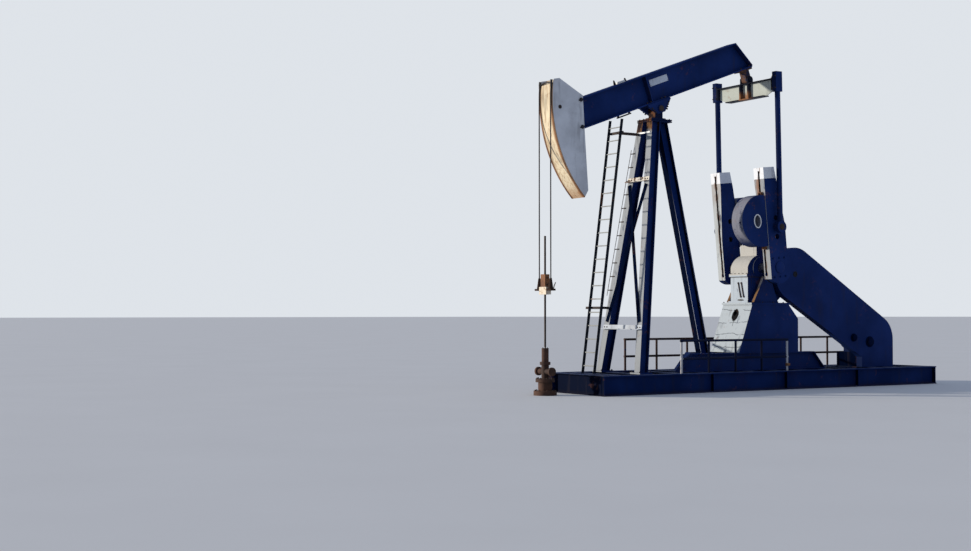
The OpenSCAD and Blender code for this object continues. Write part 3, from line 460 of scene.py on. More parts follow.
def case_extra(n, colour, fine):
    """Outer ribs' front faces pale above, a painted highlight of the low sun, and brown lower down;
    a dark band under the joint flange and oil runs from it.
    """
    height = n.height()
    seam = n.band(height, 2.40, 0.012, 0.008)
    # Painted highlight on the ribs' front faces, brown lower down.
    rib = n.times(n.band(n.from_middle(), 0.40, 0.04), n.on_front(0.6))
    bare_low = n.ramp(n.shifted(height, n.noise(6.0, 5.0), 0.25), 2.2, 2.4)
    colour = n.mix(rib, colour, n.mix(bare_low, (0.20, 0.11, 0.05), (0.46, 0.42, 0.37)))
    streaks = n.ramp(n.noise(16.0, 4.0, (1, 1, 0.06)), 0.56, 0.66)
    runs = n.times(streaks, n.ramp(height, 1.9, 2.35))
    dirt = n.math("MAXIMUM", n.times(seam, 0.6), n.times(runs, 0.35))
    return n.mix(dirt, colour, (0.05, 0.04, 0.035))


def cover_extra(n, colour, fine):
    """Paler on what looks forward and up: partly pale paint, partly a painted highlight of the low
    sun.
    """
    lit = n.ramp(n.dot(n.normal, (-0.8, 0, 0.6)), 0.35, 0.75)
    return n.mix(n.times(lit, n.ramp(n.noise(4.0, 6.0), 0.2, 0.4)), colour, (0.46, 0.45, 0.42))


def fronted(name, node, **changes):
    """Blue paint that is pale and chalky on a node's outermost front face: partly sun-faded, partly
    a painted highlight of the low sun.
    """
    return paint(name, faces=[outer_plane(node)], **changes)


blue = paint("blue_paint")
blue_plain = paint("blue_paint_plain", rust=0.12)
brace_paint = paint("brace_paint", (0.002, 0.007, 0.032), rust=0.15, rough=0.6, shine=0.0)
rear_leg_paint = paint("rear_leg_paint", rust=0.15, rough=0.6, extra=rear_leg_extra, shine=0.0)
cap_paint = paint("post_cap_paint", (0.003, 0.010, 0.050), extra=weathered_front)
blue_skid = paint(
    "blue_paint_skid", (0.0035, 0.016, 0.082), rust=0.2, extra=skid_extra, shine=0.03
)
# The pale chalky front faces below are partly sun-faded paint and partly a painted highlight of the
# low sun.
leg_near = fronted("leg_paint_near", "front_leg_near", extra=leg_extra)
leg_far = fronted("leg_paint_far", "front_leg_far", extra=leg_extra)
blue_case = paint(
    "reducer_case_paint", chalk=(0.44, 0.50, 0.56), faces=[(FRONT, -2.305)], extra=case_extra
)
blue_cover = paint("reducer_cover_paint", rust=0.15, extra=cover_extra)
pedestal_paint = fronted(
    "pedestal_paint", "pedestal", chalk=(0.42, 0.47, 0.51), extra=pedestal_extra
)
crank_paint_near = fronted("crank_paint_near", "crank_near", extra=crank_extra(-1))
crank_paint_far = fronted(
    "crank_paint_far", "crank_far", chalk=(0.44, 0.47, 0.48), extra=crank_extra(1)
)
weight_paint = paint("weight_paint", rust=0.3, extra=rim_extra)
ladder_paint = paint("ladder_paint", (0.010, 0.013, 0.020), rust=0.5, extra=ladder_extra)
head_side = paint("white_paint_side", (0.50, 0.52, 0.55), rust=0.12, rough=0.55)
head_face = paint("cream_paint_face", CREAM, rust=0.5, rough=0.6, extra=face_extra)
web_paint = paint("equalizer_paint", (0.010, 0.014, 0.030), rust=0.35, extra=web_extra)
tie_low = paint("tie_paint_low", (0.42, 0.45, 0.49), rust=0.1, rough=0.6)
tie_high = rusty("tie_rusted", paint_left=(0.66, 0.62, 0.54), left=0.44)
fence_near = paint("fence_paint_near", (0.004, 0.008, 0.030), rust=0.35, extra=fence_extra)
fence_far = rusty("fence_rusted", (0.022, 0.010, 0.008), (0.07, 0.03, 0.02), NAVY, 0.58)
# Near-black steel for the guard's port ring and the disc that fills it, painted shade for the hole.
port_shade_fill = rusty("port_shade_fill", (0.003, 0.004, 0.010), (0.010, 0.010, 0.018))
dark_steel = rusty("dark_steel", (0.012, 0.012, 0.016), (0.06, 0.035, 0.025))
rust_dark = rusty("rusted_steel", (0.022, 0.010, 0.007), (0.085, 0.034, 0.018))
rust_clamp = rusty("rusted_clamp", (0.09, 0.035, 0.018), (0.26, 0.11, 0.045))
rust_blue = rusty(
    "rusted_blue_steel", (0.03, 0.013, 0.010), (0.15, 0.065, 0.035), (0.004, 0.012, 0.05), 0.5
)
rust_orange = rusty(
    "rusted_orange", (0.12, 0.05, 0.022), (0.34, 0.17, 0.07), (0.02, 0.03, 0.08), 0.6
)
carrier_paint = paint(
    "carrier_paint", (0.55, 0.48, 0.38), rust=0.8, rough=0.6, extra=carrier_extra
)
rope_grease = rusty("rope_steel", (0.020, 0.019, 0.022), (0.075, 0.062, 0.055))
rod_steel = metal("rod_steel", (0.16, 0.15, 0.15), 0.35)
sleeve_steel = metal("sleeve_steel", (0.055, 0.045, 0.04), 0.45)
bare = metal("bare_steel", (0.42, 0.41, 0.39), 0.3)
white_trim = paint("white_trim", (0.82, 0.82, 0.80), rust=0.1, rough=0.55)
plate_paint = paint("plate_paint", (0.46, 0.50, 0.56), rust=0.1, rough=0.5)

CAD_LOOKS = {
    "skid_rail_near": blue_skid, "skid_rail_far": blue_skid, "skid_cross_beams": blue_skid,
    "riser_beams": blue, "pedestal": pedestal_paint,
    "reducer_case": blue_case, "reducer_cover": blue_cover, "brake_drum": dark_steel,
    "front_leg_near": leg_near, "front_leg_far": leg_far, "rear_leg": rear_leg_paint,
    "lower_tie": tie_low, "upper_tie": tie_high,
    "brace_front": brace_paint, "brace_rear": brace_paint,
    "post_cap": cap_paint, "saddle_housing": cap_paint, "saddle_bracket": blue,
    "walking_beam": blue, "tail_bearing": rust_blue,
    "horsehead_sides": head_side, "horsehead_face": head_face,
    "rope_tracks": rust_clamp, "rope_anchors": rope_grease, "bridle_ropes": rope_grease,
    "carrier_bar": carrier_paint, "rod_clamp": rust_clamp, "rod_sleeve": sleeve_steel,
    "polished_rod": rod_steel, "wellhead": rust_dark,
    "equalizer_beam": web_paint, "pitman_near": blue, "pitman_far": blue,
    "crankshaft": bare, "crank_near": crank_paint_near, "crank_far": crank_paint_far,
    "counterweight_near": weight_paint, "counterweight_far": weight_paint,
    "belt_guard": blue_plain, "motor": blue_plain, "motor_base": brace_paint,
    "crank_guard_near": fence_near, "crank_guard_far": fence_far,
    "ladder": ladder_paint, "ladder_brackets": dark_steel,
}
for node, look in CAD_LOOKS.items():
    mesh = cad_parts[node].data
    mesh.materials.clear()
    mesh.materials.append(look)


# Mesh building
def aim(place, axis):
    """Matrix that lays a lathe's height along an axis from a place."""
    return Matrix.Translation(place) @ Vector(axis).to_track_quat("Z", "Y").to_matrix().to_4x4()


class Shape:
    """Gathers simple solids into one mesh, each placed by a matrix."""

    def __init__(self, place=IDENTITY):
        self.place = place
        self.verts, self.faces = [], []

    def add(self, points, faces, at=IDENTITY):
        start = len(self.verts)
        self.verts += [self.place @ at @ Vector(p) for p in points]
        self.faces += [tuple(start + i for i in f) for f in faces]

    def box(self, low, high, at=IDENTITY):
        x, y, z = zip(low, high)
        points = [(x[i], y[j], z[k]) for i in (0, 1) for j in (0, 1) for k in (0, 1)]
        faces = [(0, 1, 3, 2), (4, 6, 7, 5), (0, 4, 5, 1), (2, 3, 7, 6), (0, 2, 6, 4), (1, 5, 7, 3)]
        self.add(points, faces, at)

    def prism(self, outline, low, high):
        """A flat plate along Y from an outline of (x, z) points."""
        count = len(outline)
        points = [(x, low, z) for x, z in outline] + [(x, high, z) for x, z in outline]
        faces = [(k, (k + 1) % count, count + (k + 1) % count, count + k) for k in range(count)]
        faces += [tuple(reversed(range(count))), tuple(range(count, 2 * count))]
        self.add(points, faces)

    def rings(self, rings, closed=False):
        """Skins rings of points, each with as many points as the last, and caps an open skin."""
        count = len(rings[0])
        points = [p for ring in rings for p in ring]
        faces = []
        for i in range(len(rings) if closed else len(rings) - 1):
            a, b = i * count, (i + 1) % len(rings) * count
            for k in range(count):
                turn = (k + 1) % count
                faces.append((a + k, a + turn, b + turn, b + k))
        if not closed:
            faces.append(tuple(reversed(range(count))))
            faces.append(tuple(range(len(points) - count, len(points))))
        self.add(points, faces)

    def lathe(self, profile, at=IDENTITY, sides=24, closed=False):
        """Turns (radius, height) points round Z; a closed profile makes a ring."""
        turn = [2 * math.pi * k / sides for k in range(sides)]
        self.rings([
            [at @ Vector((r * math.cos(a), r * math.sin(a), h)) for a in turn] for r, h in profile
        ], closed)

    def tube(self, path, radius, sides=12):
        """A round bar along a path of points."""
        path = [Vector(p) for p in path]
        turn = [2 * math.pi * k / sides for k in range(sides)]
        rings = []
        side = None
        for i, p in enumerate(path):
            ahead = path[i + 1] if i + 1 < len(path) else p
            back = path[i - 1] if i > 0 else p
            run = (ahead - back).normalized()
            if side is None:
                side = run.orthogonal().normalized()
            side = (side - run * side.dot(run)).normalized()
            up = run.cross(side)
            rings.append([p + (side * math.cos(a) + up * math.sin(a)) * radius for a in turn])
        self.rings(rings)

    def bolt(self, place, direction, radius, head):
        """A washer, a chamfered hexagon head and the bolt's end, on a face."""
        at = aim(place, direction)
        self.lathe([(radius * 1.25, 0), (radius * 1.25, head * 0.25)], at, 16)
        self.lathe(
            [(radius, head * 0.25), (radius, head * 1.05), (radius * 0.86, head * 1.25)],
            at @ Matrix.Rotation(0.4, 4, "Z"), 6,
        )
        self.lathe([(radius * 0.5, head * 1.25), (radius * 0.45, head * 1.8)], at, 10)

    def piece(self, name, body, material, smooth=None, bevel=0.0):
        """Makes the mesh an object; smooth is the angle in degrees that stays sharp."""
        mesh = bpy.data.meshes.new(name)
        mesh.from_pydata([tuple(v) for v in self.verts], [], self.faces)
        mesh.materials.append(material)
        obj = bpy.data.objects.new(name, mesh)
        bpy.context.scene.collection.objects.link(obj)
        if smooth is not None:
            for poly in mesh.polygons:
                poly.use_smooth = True
            mesh.set_sharp_from_angle(angle=math.radians(smooth))
        if bevel:
            rounded = obj.modifiers.new("bevel", "BEVEL")
            rounded.width = bevel
            rounded.segments = 2
            rounded.limit_method = "ANGLE"
        if body:
            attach(obj, body)
        return obj

    def steel(self, name, body, smooth=35):
        """Makes the mesh an object of dark steel."""
        self.piece(name, body, dark_steel, smooth=smooth)


# Bridle ropes: twisted strands in place of the plain CAD rods
STRANDS, LAY, STEP = 6, 0.22, 0.022
rope_low, rope_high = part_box("bridle_ropes")
rope_length = rope_high.z - rope_low.z
ropes = Shape()
steps = int(rope_length / STEP)
reach = ROPE_R * 0.64
for side in (-1, 1):
    for strand in range(STRANDS):
        path = []
        for i in range(steps + 1):
            z = rope_low.z + rope_length * i / steps
            turn = 2 * math.pi * (z / LAY + strand / STRANDS)
            path.append((
                ROD_X + reach * math.cos(turn), side * ROPE_Y + reach * math.sin(turn), z
            ))
        ropes.tube(path, ROPE_R * 0.36, 6)
rope_piece = ropes.piece("bridle_rope_strands", None, rope_grease, smooth=50)
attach(rope_piece, "base")
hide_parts("bridle_ropes")
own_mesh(rope_piece)

# Beam: blank nameplate, lugs, top pad, bolts, welds and the bar under it
PLATE_FACE_Y = -0.016
nameplate = Shape(ON_BEAM)
nameplate.box((0.03, PLATE_FACE_Y, 0.482), (0.535, PLATE_FACE_Y + 0.0055, 0.622))
nameplate.piece("blank_nameplate", "beam", plate_paint, bevel=0.002)
plate_rivets = Shape(ON_BEAM)
for u in (0.05, 0.515):
    for v in (0.50, 0.604):
        plate_rivets.lathe(
            [(0.007, 0), (0.006, 0.003), (0.003, 0.0045)], aim((u, PLATE_FACE_Y, v), NEAR), 12
        )
plate_rivets.steel("nameplate_rivets", "beam", 40)

lugs = Shape(ON_BEAM)
for u, high in ((-0.85, 0.10), (-0.56, 0.075)):
    foot, shoulder, tip = BEAM_TOP + CLEAR, BEAM_TOP + high * 0.75, BEAM_TOP + high
    lugs.prism([
        (u - 0.03, foot), (u + 0.03, foot), (u + 0.018, shoulder),
        (u + 0.008, tip), (u - 0.008, tip), (u - 0.018, shoulder),
    ], -0.008, 0.008)
lugs.piece("beam_lifting_lugs", "beam", dark_steel, bevel=0.002)
pad = Shape(ON_BEAM)
pad_low, pad_top = BEAM_TOP + CLEAR, BEAM_TOP + 0.045
pad.prism([(-0.80, pad_low), (-0.61, pad_low), (-0.62, pad_top), (-0.79, pad_top)], -0.07, 0.07)
pad.piece("beam_top_pad", "beam", white_trim, bevel=0.004)

beam_bolts = Shape(ON_BEAM)
for places, off in (((-0.25, -0.15, 0.15, 0.25), 0.105), ((2.52, 2.77), 0.09)):
    for u in places:
        for y in (-off, off):
            beam_bolts.bolt((u, y, BEAM_LOW), UP, 0.018, 0.016)
beam_bolts.steel("beam_bolts", "beam")

beam_welds = Shape(ON_BEAM)
for side in (-1, 1):
    y = side * 0.0125
    for v in (0.181, 0.729):
        beam_welds.tube([(u, y, v) for u in (-2.28, -1.2, -0.13, 1.2, 2.5)], 0.006, 8)
    for u in (-0.1345, -0.1075):
        beam_welds.tube([(u, y, 0.19), (u, y, 0.72)], 0.005, 8)
beam_welds.piece("beam_weld_beads", "beam", blue_plain, smooth=60)

under_bar = Shape(ON_BEAM)
under_bar.box((-1.08, -0.10, 0.100), (-0.72, -0.04, 0.124))
for u in (-1.05, -0.75):
    under_bar.box((u - 0.02, -0.085, 0.1245), (u + 0.02, -0.055, 0.1495))
under_bar.piece("beam_under_bar", "beam", dark_steel, bevel=0.002)

# Saddle: bolts down both edges and caps on the bearing's ends
SADDLE_BOLTS = (
    (0.250, 0.07), (0.220, 0.03), (0.187, -0.012), (0.155, -0.054),
    (-0.215, 0.06), (-0.185, 0.01), (-0.155, -0.04),
)
saddle_bolts = Shape(ON_BEAM)
for side in (-1, 1):
    for u, v in SADDLE_BOLTS:
        saddle_bolts.bolt((u, side * 0.1735, v), (0, side, 0), 0.015, 0.014)
    saddle_bolts.lathe(
        [(0.062, 0), (0.062, 0.012), (0.052, 0.02), (0.02, 0.022)],
        aim((0, side * 0.1935, 0), (0, side, 0)), 28,
    )
saddle_bolts.steel("saddle_bolts", "beam")

# Horsehead: pin caps, side port and the rope over its top
head_caps = Shape(ON_BEAM)
for u, v in ((-1.947, 0.73), (-2.104, 0.21)):
    for side in (-1, 1):
        head_caps.lathe(
            [(0.040, 0), (0.040, 0.012), (0.030, 0.016), (0.030, 0.030), (0.014, 0.034)],
            aim((u, side * (HEAD_SIDE_Y + CLEAR), v), (0, side, 0)), 24,
        )
        y = side * (HEAD_SIDE_Y + 0.006)
        head_caps.box((u - 0.060, y - 0.005, v - 0.014), (u - 0.034, y + 0.005, v + 0.014))
head_caps.steel("head_pin_caps", "beam")
head_port = Shape(ON_BEAM)
port_place = aim((-2.491, -HEAD_SIDE_Y, 0.736), NEAR)
head_port.lathe(
    [(0.026, CLEAR), (0.038, CLEAR), (0.038, 0.008), (0.026, 0.008)], port_place, 24, True
)
# A thin dark disc fills the ring: painted shade for the port's hole.
head_port.lathe([(0.0255, 0.0004), (0.0255, 0.001)], port_place, 24)
head_port.steel("head_side_port", "beam")

TOP_TURN = math.radians(5.65)
ARCH_STEPS, ARCH_RISE = 24, 0.055
top_x = -ROPE_ARM * math.cos(TOP_TURN)
top_z = PIVOT.z + ROPE_ARM * math.sin(TOP_TURN) - 0.01
arch = []
for i in range(ARCH_STEPS + 1):
    angle = math.pi * i / ARCH_STEPS
    lift = ARCH_RISE * math.sin(angle)
    arch.append((top_x + 0.35 * lift + 0.002, ROPE_Y * math.cos(angle), top_z + lift))
over_head = Shape()
over_head.tube(arch, ROPE_R, 10)
for y in (-ROPE_Y, ROPE_Y):
    over_head.lathe(
        [(0.018, -0.06), (0.024, -0.05), (0.024, 0.0), (0.016, 0.012)],
        Matrix.Translation((top_x + 0.003, y, top_z)), 16,
    )
over_head.piece("rope_over_head", "beam", rope_grease, smooth=50)

# Post: pale bar, steps on the far leg, and bolts at its feet, cap and ties
leg_normal, leg_offset = outer_plane("front_leg_near")


def leg_place(z, side):
    """Place on the front flange of a front leg at one height."""
    part = (z - LEG_FOOT.z) / (LEG_TOP.z - LEG_FOOT.z)
    y = LEG_FOOT.lerp(LEG_TOP, part).y * side
    return Vector(((leg_offset - leg_normal.y * y - leg_normal.z * z) / leg_normal.x, y, z))


post_bar = Shape()
bar_x = leg_place(5.40, 1).x
post_bar.box((bar_x - 0.020, -0.215, 5.350), (bar_x - 0.007, 0.215, 5.382))
post_bar.piece("post_top_bar", "base", white_trim, bevel=0.002)
STEP_COUNT, STEP_LOW, STEP_PITCH = 11, 2.10, 0.285
leg_steps = Shape()
rail = []
for i in range(STEP_COUNT):
    place = leg_place(STEP_LOW + STEP_PITCH * i, 1)
    x, inner, outer = place.x - 0.012, place.y + 0.01, place.y + 0.145
    leg_steps.tube([(x, inner, place.z), (x, outer, place.z)], 0.011, 10)
    rail.append(Vector((x, outer, place.z)))
rail.insert(0, rail[0] + (rail[0] - rail[1]) * 0.4)
rail.append(rail[-1] + (rail[-1] - rail[-2]) * 0.3)
leg_steps.tube(rail, 0.006, 8)
leg_steps.steel("leg_steps", "base", 50)

foot_bolts = Shape()
for x, y in ((-0.905, -0.64), (-0.905, 0.64), (1.34, 0)):
    for dx in (-0.135, 0.135):
        for dy in (-0.125, 0.125):
            foot_bolts.bolt((x + dx, y + dy, 0.4305), UP, 0.016, 0.014)
foot_bolts.steel("leg_foot_bolts", "base")
cap_bolts = Shape()
for x in (-0.26, 0.205):
    for y in (-0.2, -0.07, 0.07, 0.2):
        cap_bolts.bolt((x, y, 5.6505), UP, 0.014, 0.012)
cap_bolts.steel("post_cap_bolts", "base")
tie_bolts = Shape()
for z in TIE_HEIGHTS:
    for side in (-1, 1):
        place = leg_place(z, side)
        for dy in (-0.04, 0.04):
            tie_bolts.bolt((place.x - 0.0125, place.y + dy, z), FRONT, 0.012, 0.010)
tie_bolts.steel("tie_bolts", "base")

# Reducer: bolts, sight tubes, drain, breather and rib bars
reducer_bolts = Shape()
for side in (-1, 1):
    for i in range(9):
        reducer_bolts.bolt((2.33 + i * 0.18, side * 0.2775, COVER_FLANGE_Z), UP, 0.011, 0.012)
for y in (-0.24, -0.12, 0.0, 0.12, 0.24):
    reducer_bolts.bolt((2.283, y, COVER_FLANGE_Z), UP, 0.009, 0.011)
for x in (2.29, 2.60, 2.90, 3.12):
    for side in (-1, 1):
        reducer_bolts.bolt((x, side * 0.29, 1.8805), UP, 0.012, 0.012)
reducer_bolts.steel("reducer_bolts", "base")
GAUGE_X, GAUGE_TOP, GAUGE_LOW = 2.287, 2.29, 1.96
gauges = Shape()
for y in (0.022, -0.073):
    low_y = y - 0.077
    gauges.tube([(GAUGE_X, low_y, GAUGE_LOW), (GAUGE_X, y, GAUGE_TOP)], 0.012, 10)
    for end_y, z in ((low_y, GAUGE_LOW + 0.02), (y, GAUGE_TOP - 0.02)):
        gauges.tube([(CASE_FRONT_X, end_y, z), (GAUGE_X - 0.010, end_y, z)], 0.016, 10)
gauges.steel("reducer_sight_tubes", "base", 50)
DRAIN_Z = 1.905
drain = Shape()
drain.tube([(2.286, 0.03, DRAIN_Z), (2.286, -0.12, DRAIN_Z)], 0.011, 10)
drain.tube([(CASE_FRONT_X, -0.04, DRAIN_Z), (2.275, -0.04, DRAIN_Z)], 0.015, 10)
drain.steel("reducer_drain_cock", "base", 50)
BREATHER = (
    (0.03, 0), (0.03, 0.0145), (0.022, 0.0195), (0.022, 0.0395),
    (0.034, 0.0445), (0.03, 0.0695), (0.01, 0.0745),
)
breather = Shape()
breather.lathe(BREATHER, Matrix.Translation((2.72, 0.06, COVER_TOP_Z)), 20)
for x in (2.60, 2.80):
    for y in (-0.22, 0.22):
        breather.bolt((x, y, COVER_TOP_Z), UP, 0.012, 0.011)
breather.piece("reducer_breather", "base", white_trim, smooth=40)

RIB_LOW, RIB_HIGH = Vector((2.33, 0, 1.8455)), Vector((2.635, 0, 2.41))
RIB_Y, RIB_BAR_T = 0.40, 0.0125
rib_run = (RIB_HIGH - RIB_LOW).normalized()
rib_out = Vector((-rib_run.z, 0, rib_run.x))
rib_foot = RIB_LOW + rib_run * 0.01
rib_outline = [
    (corner.x, corner.z) for corner in (
        rib_foot + rib_out * CLEAR, RIB_HIGH + rib_out * CLEAR,
        RIB_HIGH + rib_out * RIB_BAR_T, rib_foot + rib_out * RIB_BAR_T,
    )
]
rib_bars = Shape()
for side in (-1, 1):
    rib_bars.prism(rib_outline, side * RIB_Y - 0.035, side * RIB_Y + 0.035)
rib_bars.piece("reducer_rib_bars", "base", blue_case, bevel=0.002)

# Pedestal: plate bolts
pedestal_bolts = Shape()
for side in (-1, 1):
    for x in (2.26, 2.56, 2.86, 3.16, 3.32):
        pedestal_bolts.bolt((x, side * 0.45, 1.8455), UP, 0.013, 0.012)
pedestal_bolts.steel("pedestal_plate_bolts", "base")

# Brake band and lever on the far side of the reducer
BAND_R, BAND_GROWTH, BAND_STEPS = 0.238, 1.03, 32
inner, outer = [], []
for i in range(BAND_STEPS + 1):
    angle = math.radians(-60 + 300 * i / BAND_STEPS)
    x, z = BAND_R * math.cos(angle), BAND_R * math.sin(angle)
    for y in (0.315, 0.385):
        inner.append((BRAKE_X + x, y, BRAKE_Z + z))
        outer.append((BRAKE_X + x * BAND_GROWTH, y, BRAKE_Z + z * BAND_GROWTH))
over = len(inner)
faces = []
for a in range(0, over - 2, 2):
    b = a + 2
    faces += [(a, a + 1, b + 1, b), (a + over, b + over, b + 1 + over, a + 1 + over)]
    faces += [(a, b, b + over, a + over), (a + 1, a + 1 + over, b + 1 + over, b + 1)]
last = over - 2
faces += [(0, over, over + 1, 1), (last, last + 1, last + 1 + over, last + over)]
band = Shape()
band.add(inner + outer, faces)
LEVER = ((BRAKE_X + 0.12, BRAKE_Z - 0.235), (3.60, 2.05), (3.60, 1.90))
band.tube([(x, 0.35, z) for x, z in LEVER], 0.012, 10)
band.steel("brake_band", "base", None)


# Cranks: clamp bolts, weight clamps, weight rims and wrist nuts
def crank_bolts(side, name):
    outward, face_y = (0, side, 0), side * CRANK_FACE_Y
    bolts = Shape(ON_CRANK)
    for c in (-0.20, 0.20):
        for a in (-0.17, 0.0, 0.15):
            bolts.bolt((a, face_y, c), outward, 0.020, 0.018)
    bolts.lathe(
        [(0.125, 0.0), (0.125, 0.02), (0.10, 0.03), (0.03, 0.034)], aim((0, face_y, 0), outward), 32
    )
    bolts.piece(f"crank_bolts_{name}", "crank", blue_plain, smooth=35)


def weight_rim(side, name, middle):
    """Raised oval ring round the hole in a counterweight."""
    rings = []
    for grow, lift in ((0.0, 0.0), (0.0, 0.010), (0.020, 0.010), (0.020, 0.0)):
        y = side * (WEIGHT_FACE_Y + lift)
        rings.append([
            (middle + (0.083 + grow) * math.cos(t), y, WEIGHT_ALONG + (0.127 + grow) * math.sin(t))
            for t in (2 * math.pi * k / 32 for k in range(32))
        ])
    rim = Shape(ON_CRANK)
    rim.rings(rings, closed=True)
    rim.piece(f"weight_hole_rim_{name}", "crank", white_trim, smooth=40)


CLAMP_Y = -0.72
crank_bolts(-1, "near")
clamps = Shape(ON_CRANK)
for c in (WEIGHT_ALONG - WEIGHT_R, WEIGHT_ALONG + WEIGHT_R):
    clamps.box(
        (-CRANK_FRONT - 0.055, CLAMP_Y - 0.05, c - 0.035),
        (-CRANK_FRONT - 0.001, CLAMP_Y + 0.05, c + 0.035),
    )
    clamps.bolt((-CRANK_FRONT - 0.0555, CLAMP_Y, c), FRONT, 0.024, 0.022)
clamps.piece("weight_clamps_near", "crank", rust_clamp, smooth=35, bevel=0.003)
weight_rim(-1, "near", -0.51)
crank_bolts(1, "far")
weight_rim(1, "far", 0.486)

nuts = Shape(ON_LINK)
for side in (-1, 1):
    nuts.bolt((0.0, side * PITMAN_FACE_Y, -WRIST_DROP), (0, side, 0), 0.055, 0.008)
nuts.steel("wrist_nuts", "equalizer")

# Equalizer: bolts on the end blocks
link_bolts = Shape(ON_LINK)
for side in (-1, 1):
    for z in (-0.30, -0.05):
        for dy in (-0.05, 0.05):
            link_bolts.bolt((-0.0905, side * PITMAN_Y + dy, z), FRONT, 0.014, 0.012)
link_bolts.steel("equalizer_bolts", "equalizer")

# Belt guard: port and lower fittings
guard = Shape()
guard_port = aim(GUARD_TOP, NEAR)
guard.lathe(
    [(0.045, CLEAR), (0.062, CLEAR), (0.062, 0.008), (0.045, 0.008)], guard_port, 28, True
)
# A thin dark disc fills the ring: painted shade for the port's hole.
guard.lathe([(0.0448, 0.0004), (0.0448, 0.0015), (0.030, 0.003)], guard_port, 28)
guard.piece("guard_port_ring", "base", port_shade_fill, smooth=35)
fittings = Shape()
for x, z, r in ((5.29, 1.07, 0.07), (5.80, 0.97, 0.095)):
    profile = [
        (r * 1.3, CLEAR), (r * 1.3, 0.014), (r, 0.020),
        (r, 0.05), (r * 0.7, 0.058), (r * 0.25, 0.060),
    ]
    fittings.lathe(profile, aim((x, GUARD_Y, z), NEAR), 28)
    for k in range(6):
        angle = math.pi * k / 3
        place = (x + r * 1.15 * math.cos(angle), GUARD_Y - 0.014, z + r * 1.15 * math.sin(angle))
        fittings.bolt(place, NEAR, 0.008, 0.008)
fittings.piece("guard_lower_fittings", "base", brace_paint, smooth=35)

# Motor: fins and terminal box
FIN_COUNT = 28
motor_fins = Shape()
for k in range(FIN_COUNT):
    angle = 2 * math.pi * k / FIN_COUNT
    if math.sin(angle) >= -0.6:
        around = Matrix.Translation((MOTOR_X, 0, MOTOR_Z)) @ Matrix.Rotation(angle, 4, "Y")
        motor_fins.box((0.247, -0.22, -0.004), (0.268, 0.36, 0.004), around)
motor_fins.piece("motor_fins", "base", blue_plain)
terminal = Shape()
terminal.box((6.24, -0.05, 0.98), (6.36, 0.16, 1.16))
terminal.box((6.23, -0.06, 1.1605), (6.37, 0.17, 1.172))
terminal.piece("motor_terminal_box", "base", blue_plain, bevel=0.006)

# Clamp on the near fence's last post
clamp = Shape()
clamp.lathe(
    [(0.0245, -0.03), (0.036, -0.03), (0.036, 0.03), (0.0245, 0.03)],
    Matrix.Translation((FENCE_LAST, -0.93, 0.53)), 20, True,
)
clamp.box((FENCE_LAST - 0.04, -0.985, 0.505), (FENCE_LAST + 0.04, -0.962, 0.555))
clamp.piece("fence_clamp", "base", rust_orange, bevel=0.002)

# Skid: seams where its rails are joined
seams = Shape()
for x in (0.70, 2.75, 4.88):
    for side in (-1, 1):
        y = side * 0.9935
        seams.box((x - 0.010, y - 0.006, 0.03), (x + 0.010, y + 0.006, 0.37))
seams.piece("skid_seams", "base", blue_skid, bevel=0.003)

# Carrier: clamp bolts and hook
carrier_parts = Shape()
for z in (2.19, 2.32):
    for side in (-1, 1):
        carrier_parts.bolt((ROD_X, side * 0.0755, z), (0, side, 0), 0.014, 0.014)
HOOK = ((-0.285, 2.085), (-0.30, 2.11), (-0.315, 2.16), (-0.34, 2.19), (-0.36, 2.225))
carrier_parts.tube([(ROD_X, y, z) for y, z in HOOK], 0.010, 10)
carrier_parts.steel("carrier_hook_and_bolts", "rod", 45)


# Wellhead: flange bolts and packing gland bolts
well_bolts = Shape()


def well_bolt(angle, radius, z, size, head):
    place = (ROD_X + radius * math.cos(angle), radius * math.sin(angle), z)
    well_bolts.bolt(place, UP, size, head)


for k in range(8):
    angle = 2 * math.pi * (k + 0.5) / 8
    well_bolt(angle, 0.165, 0.3305, 0.013, 0.014)
    well_bolt(angle, 0.2, 0.0905, 0.014, 0.014)
for k in range(6):
    well_bolt(2 * math.pi * k / 6, 0.052, 0.9305, 0.008, 0.008)
well_bolts.piece("wellhead_bolts", "base", rust_dark, smooth=35)

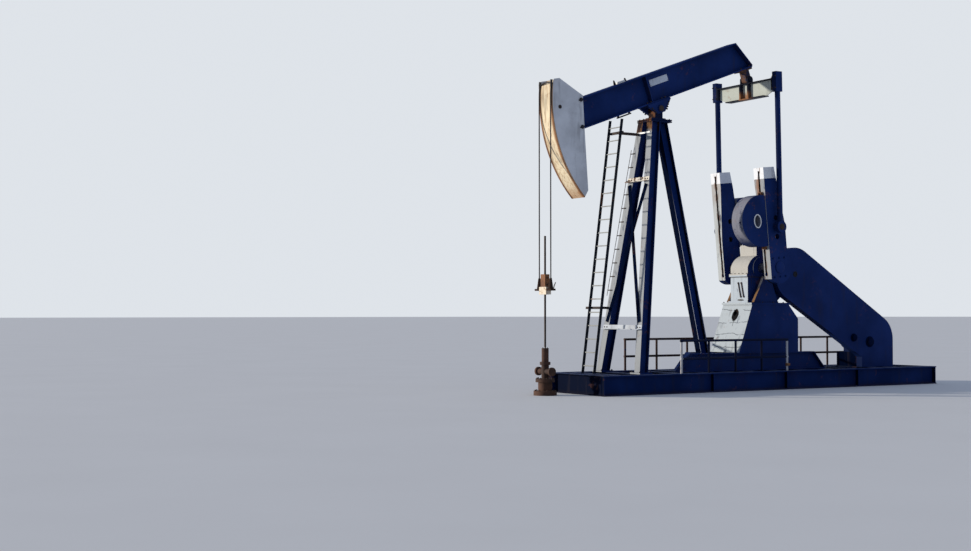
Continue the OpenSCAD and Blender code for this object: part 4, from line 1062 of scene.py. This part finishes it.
# Stage
FLOOR = 400.0
floor_mesh = bpy.data.meshes.new("floor")
floor_corners = [(-FLOOR, -FLOOR, 0), (FLOOR, -FLOOR, 0), (FLOOR, FLOOR, 0), (-FLOOR, FLOOR, 0)]
floor_mesh.from_pydata(floor_corners, [], [(0, 1, 2, 3)])
floor = bpy.data.objects.new("floor", floor_mesh)
bpy.context.scene.collection.objects.link(floor)
floor_look = Nodes("floor")
floor_colour = floor_look.mix(floor_look.noise(0.4), (0.78, 0.77, 0.75), (0.84, 0.83, 0.81))
floor_look.set(floor_look.shader.inputs["Base Color"], floor_colour)
floor_look.shader.inputs["Roughness"].default_value = 0.9
floor_mesh.materials.append(floor_look.material)

# Light: a low warm sun, a blue sky, and a paler sky where the camera sees it
SUN_RUN = (0.757, -0.635, -0.16)
SUN_ENERGY, SUN_SPREAD, SUN_COLOUR = 4.2, 2.5, (1.0, 0.92, 0.80)
SKY_COLOUR, SKY_STRENGTH = (0.62, 0.74, 1.0, 1.0), 0.42
SEEN_COLOUR, SEEN_STRENGTH = (0.80, 0.84, 0.89, 1.0), 0.92
sun_data = bpy.data.lights.new("key", "SUN")
sun_data.energy = SUN_ENERGY
sun_data.angle = math.radians(SUN_SPREAD)
sun_data.color = SUN_COLOUR
sun = bpy.data.objects.new("key", sun_data)
sun.rotation_euler = Vector(SUN_RUN).to_track_quat("-Z", "Y").to_euler()
bpy.context.scene.collection.objects.link(sun)

world = bpy.data.worlds.new("studio")
bpy.context.scene.world = world
world.use_nodes = True
tree = world.node_tree
background = tree.nodes["Background"]
background.inputs["Color"].default_value = SKY_COLOUR
background.inputs["Strength"].default_value = SKY_STRENGTH
seen = tree.nodes.new("ShaderNodeBackground")
seen.inputs["Color"].default_value = SEEN_COLOUR
seen.inputs["Strength"].default_value = SEEN_STRENGTH
which = tree.nodes.new("ShaderNodeLightPath")
choose = tree.nodes.new("ShaderNodeMixShader")
tree.links.new(which.outputs["Is Camera Ray"], choose.inputs[0])
tree.links.new(background.outputs[0], choose.inputs[1])
tree.links.new(seen.outputs[0], choose.inputs[2])
tree.links.new(choose.outputs[0], tree.nodes["World Output"].inputs["Surface"])
bpy.context.scene.view_settings.view_transform = "Standard"
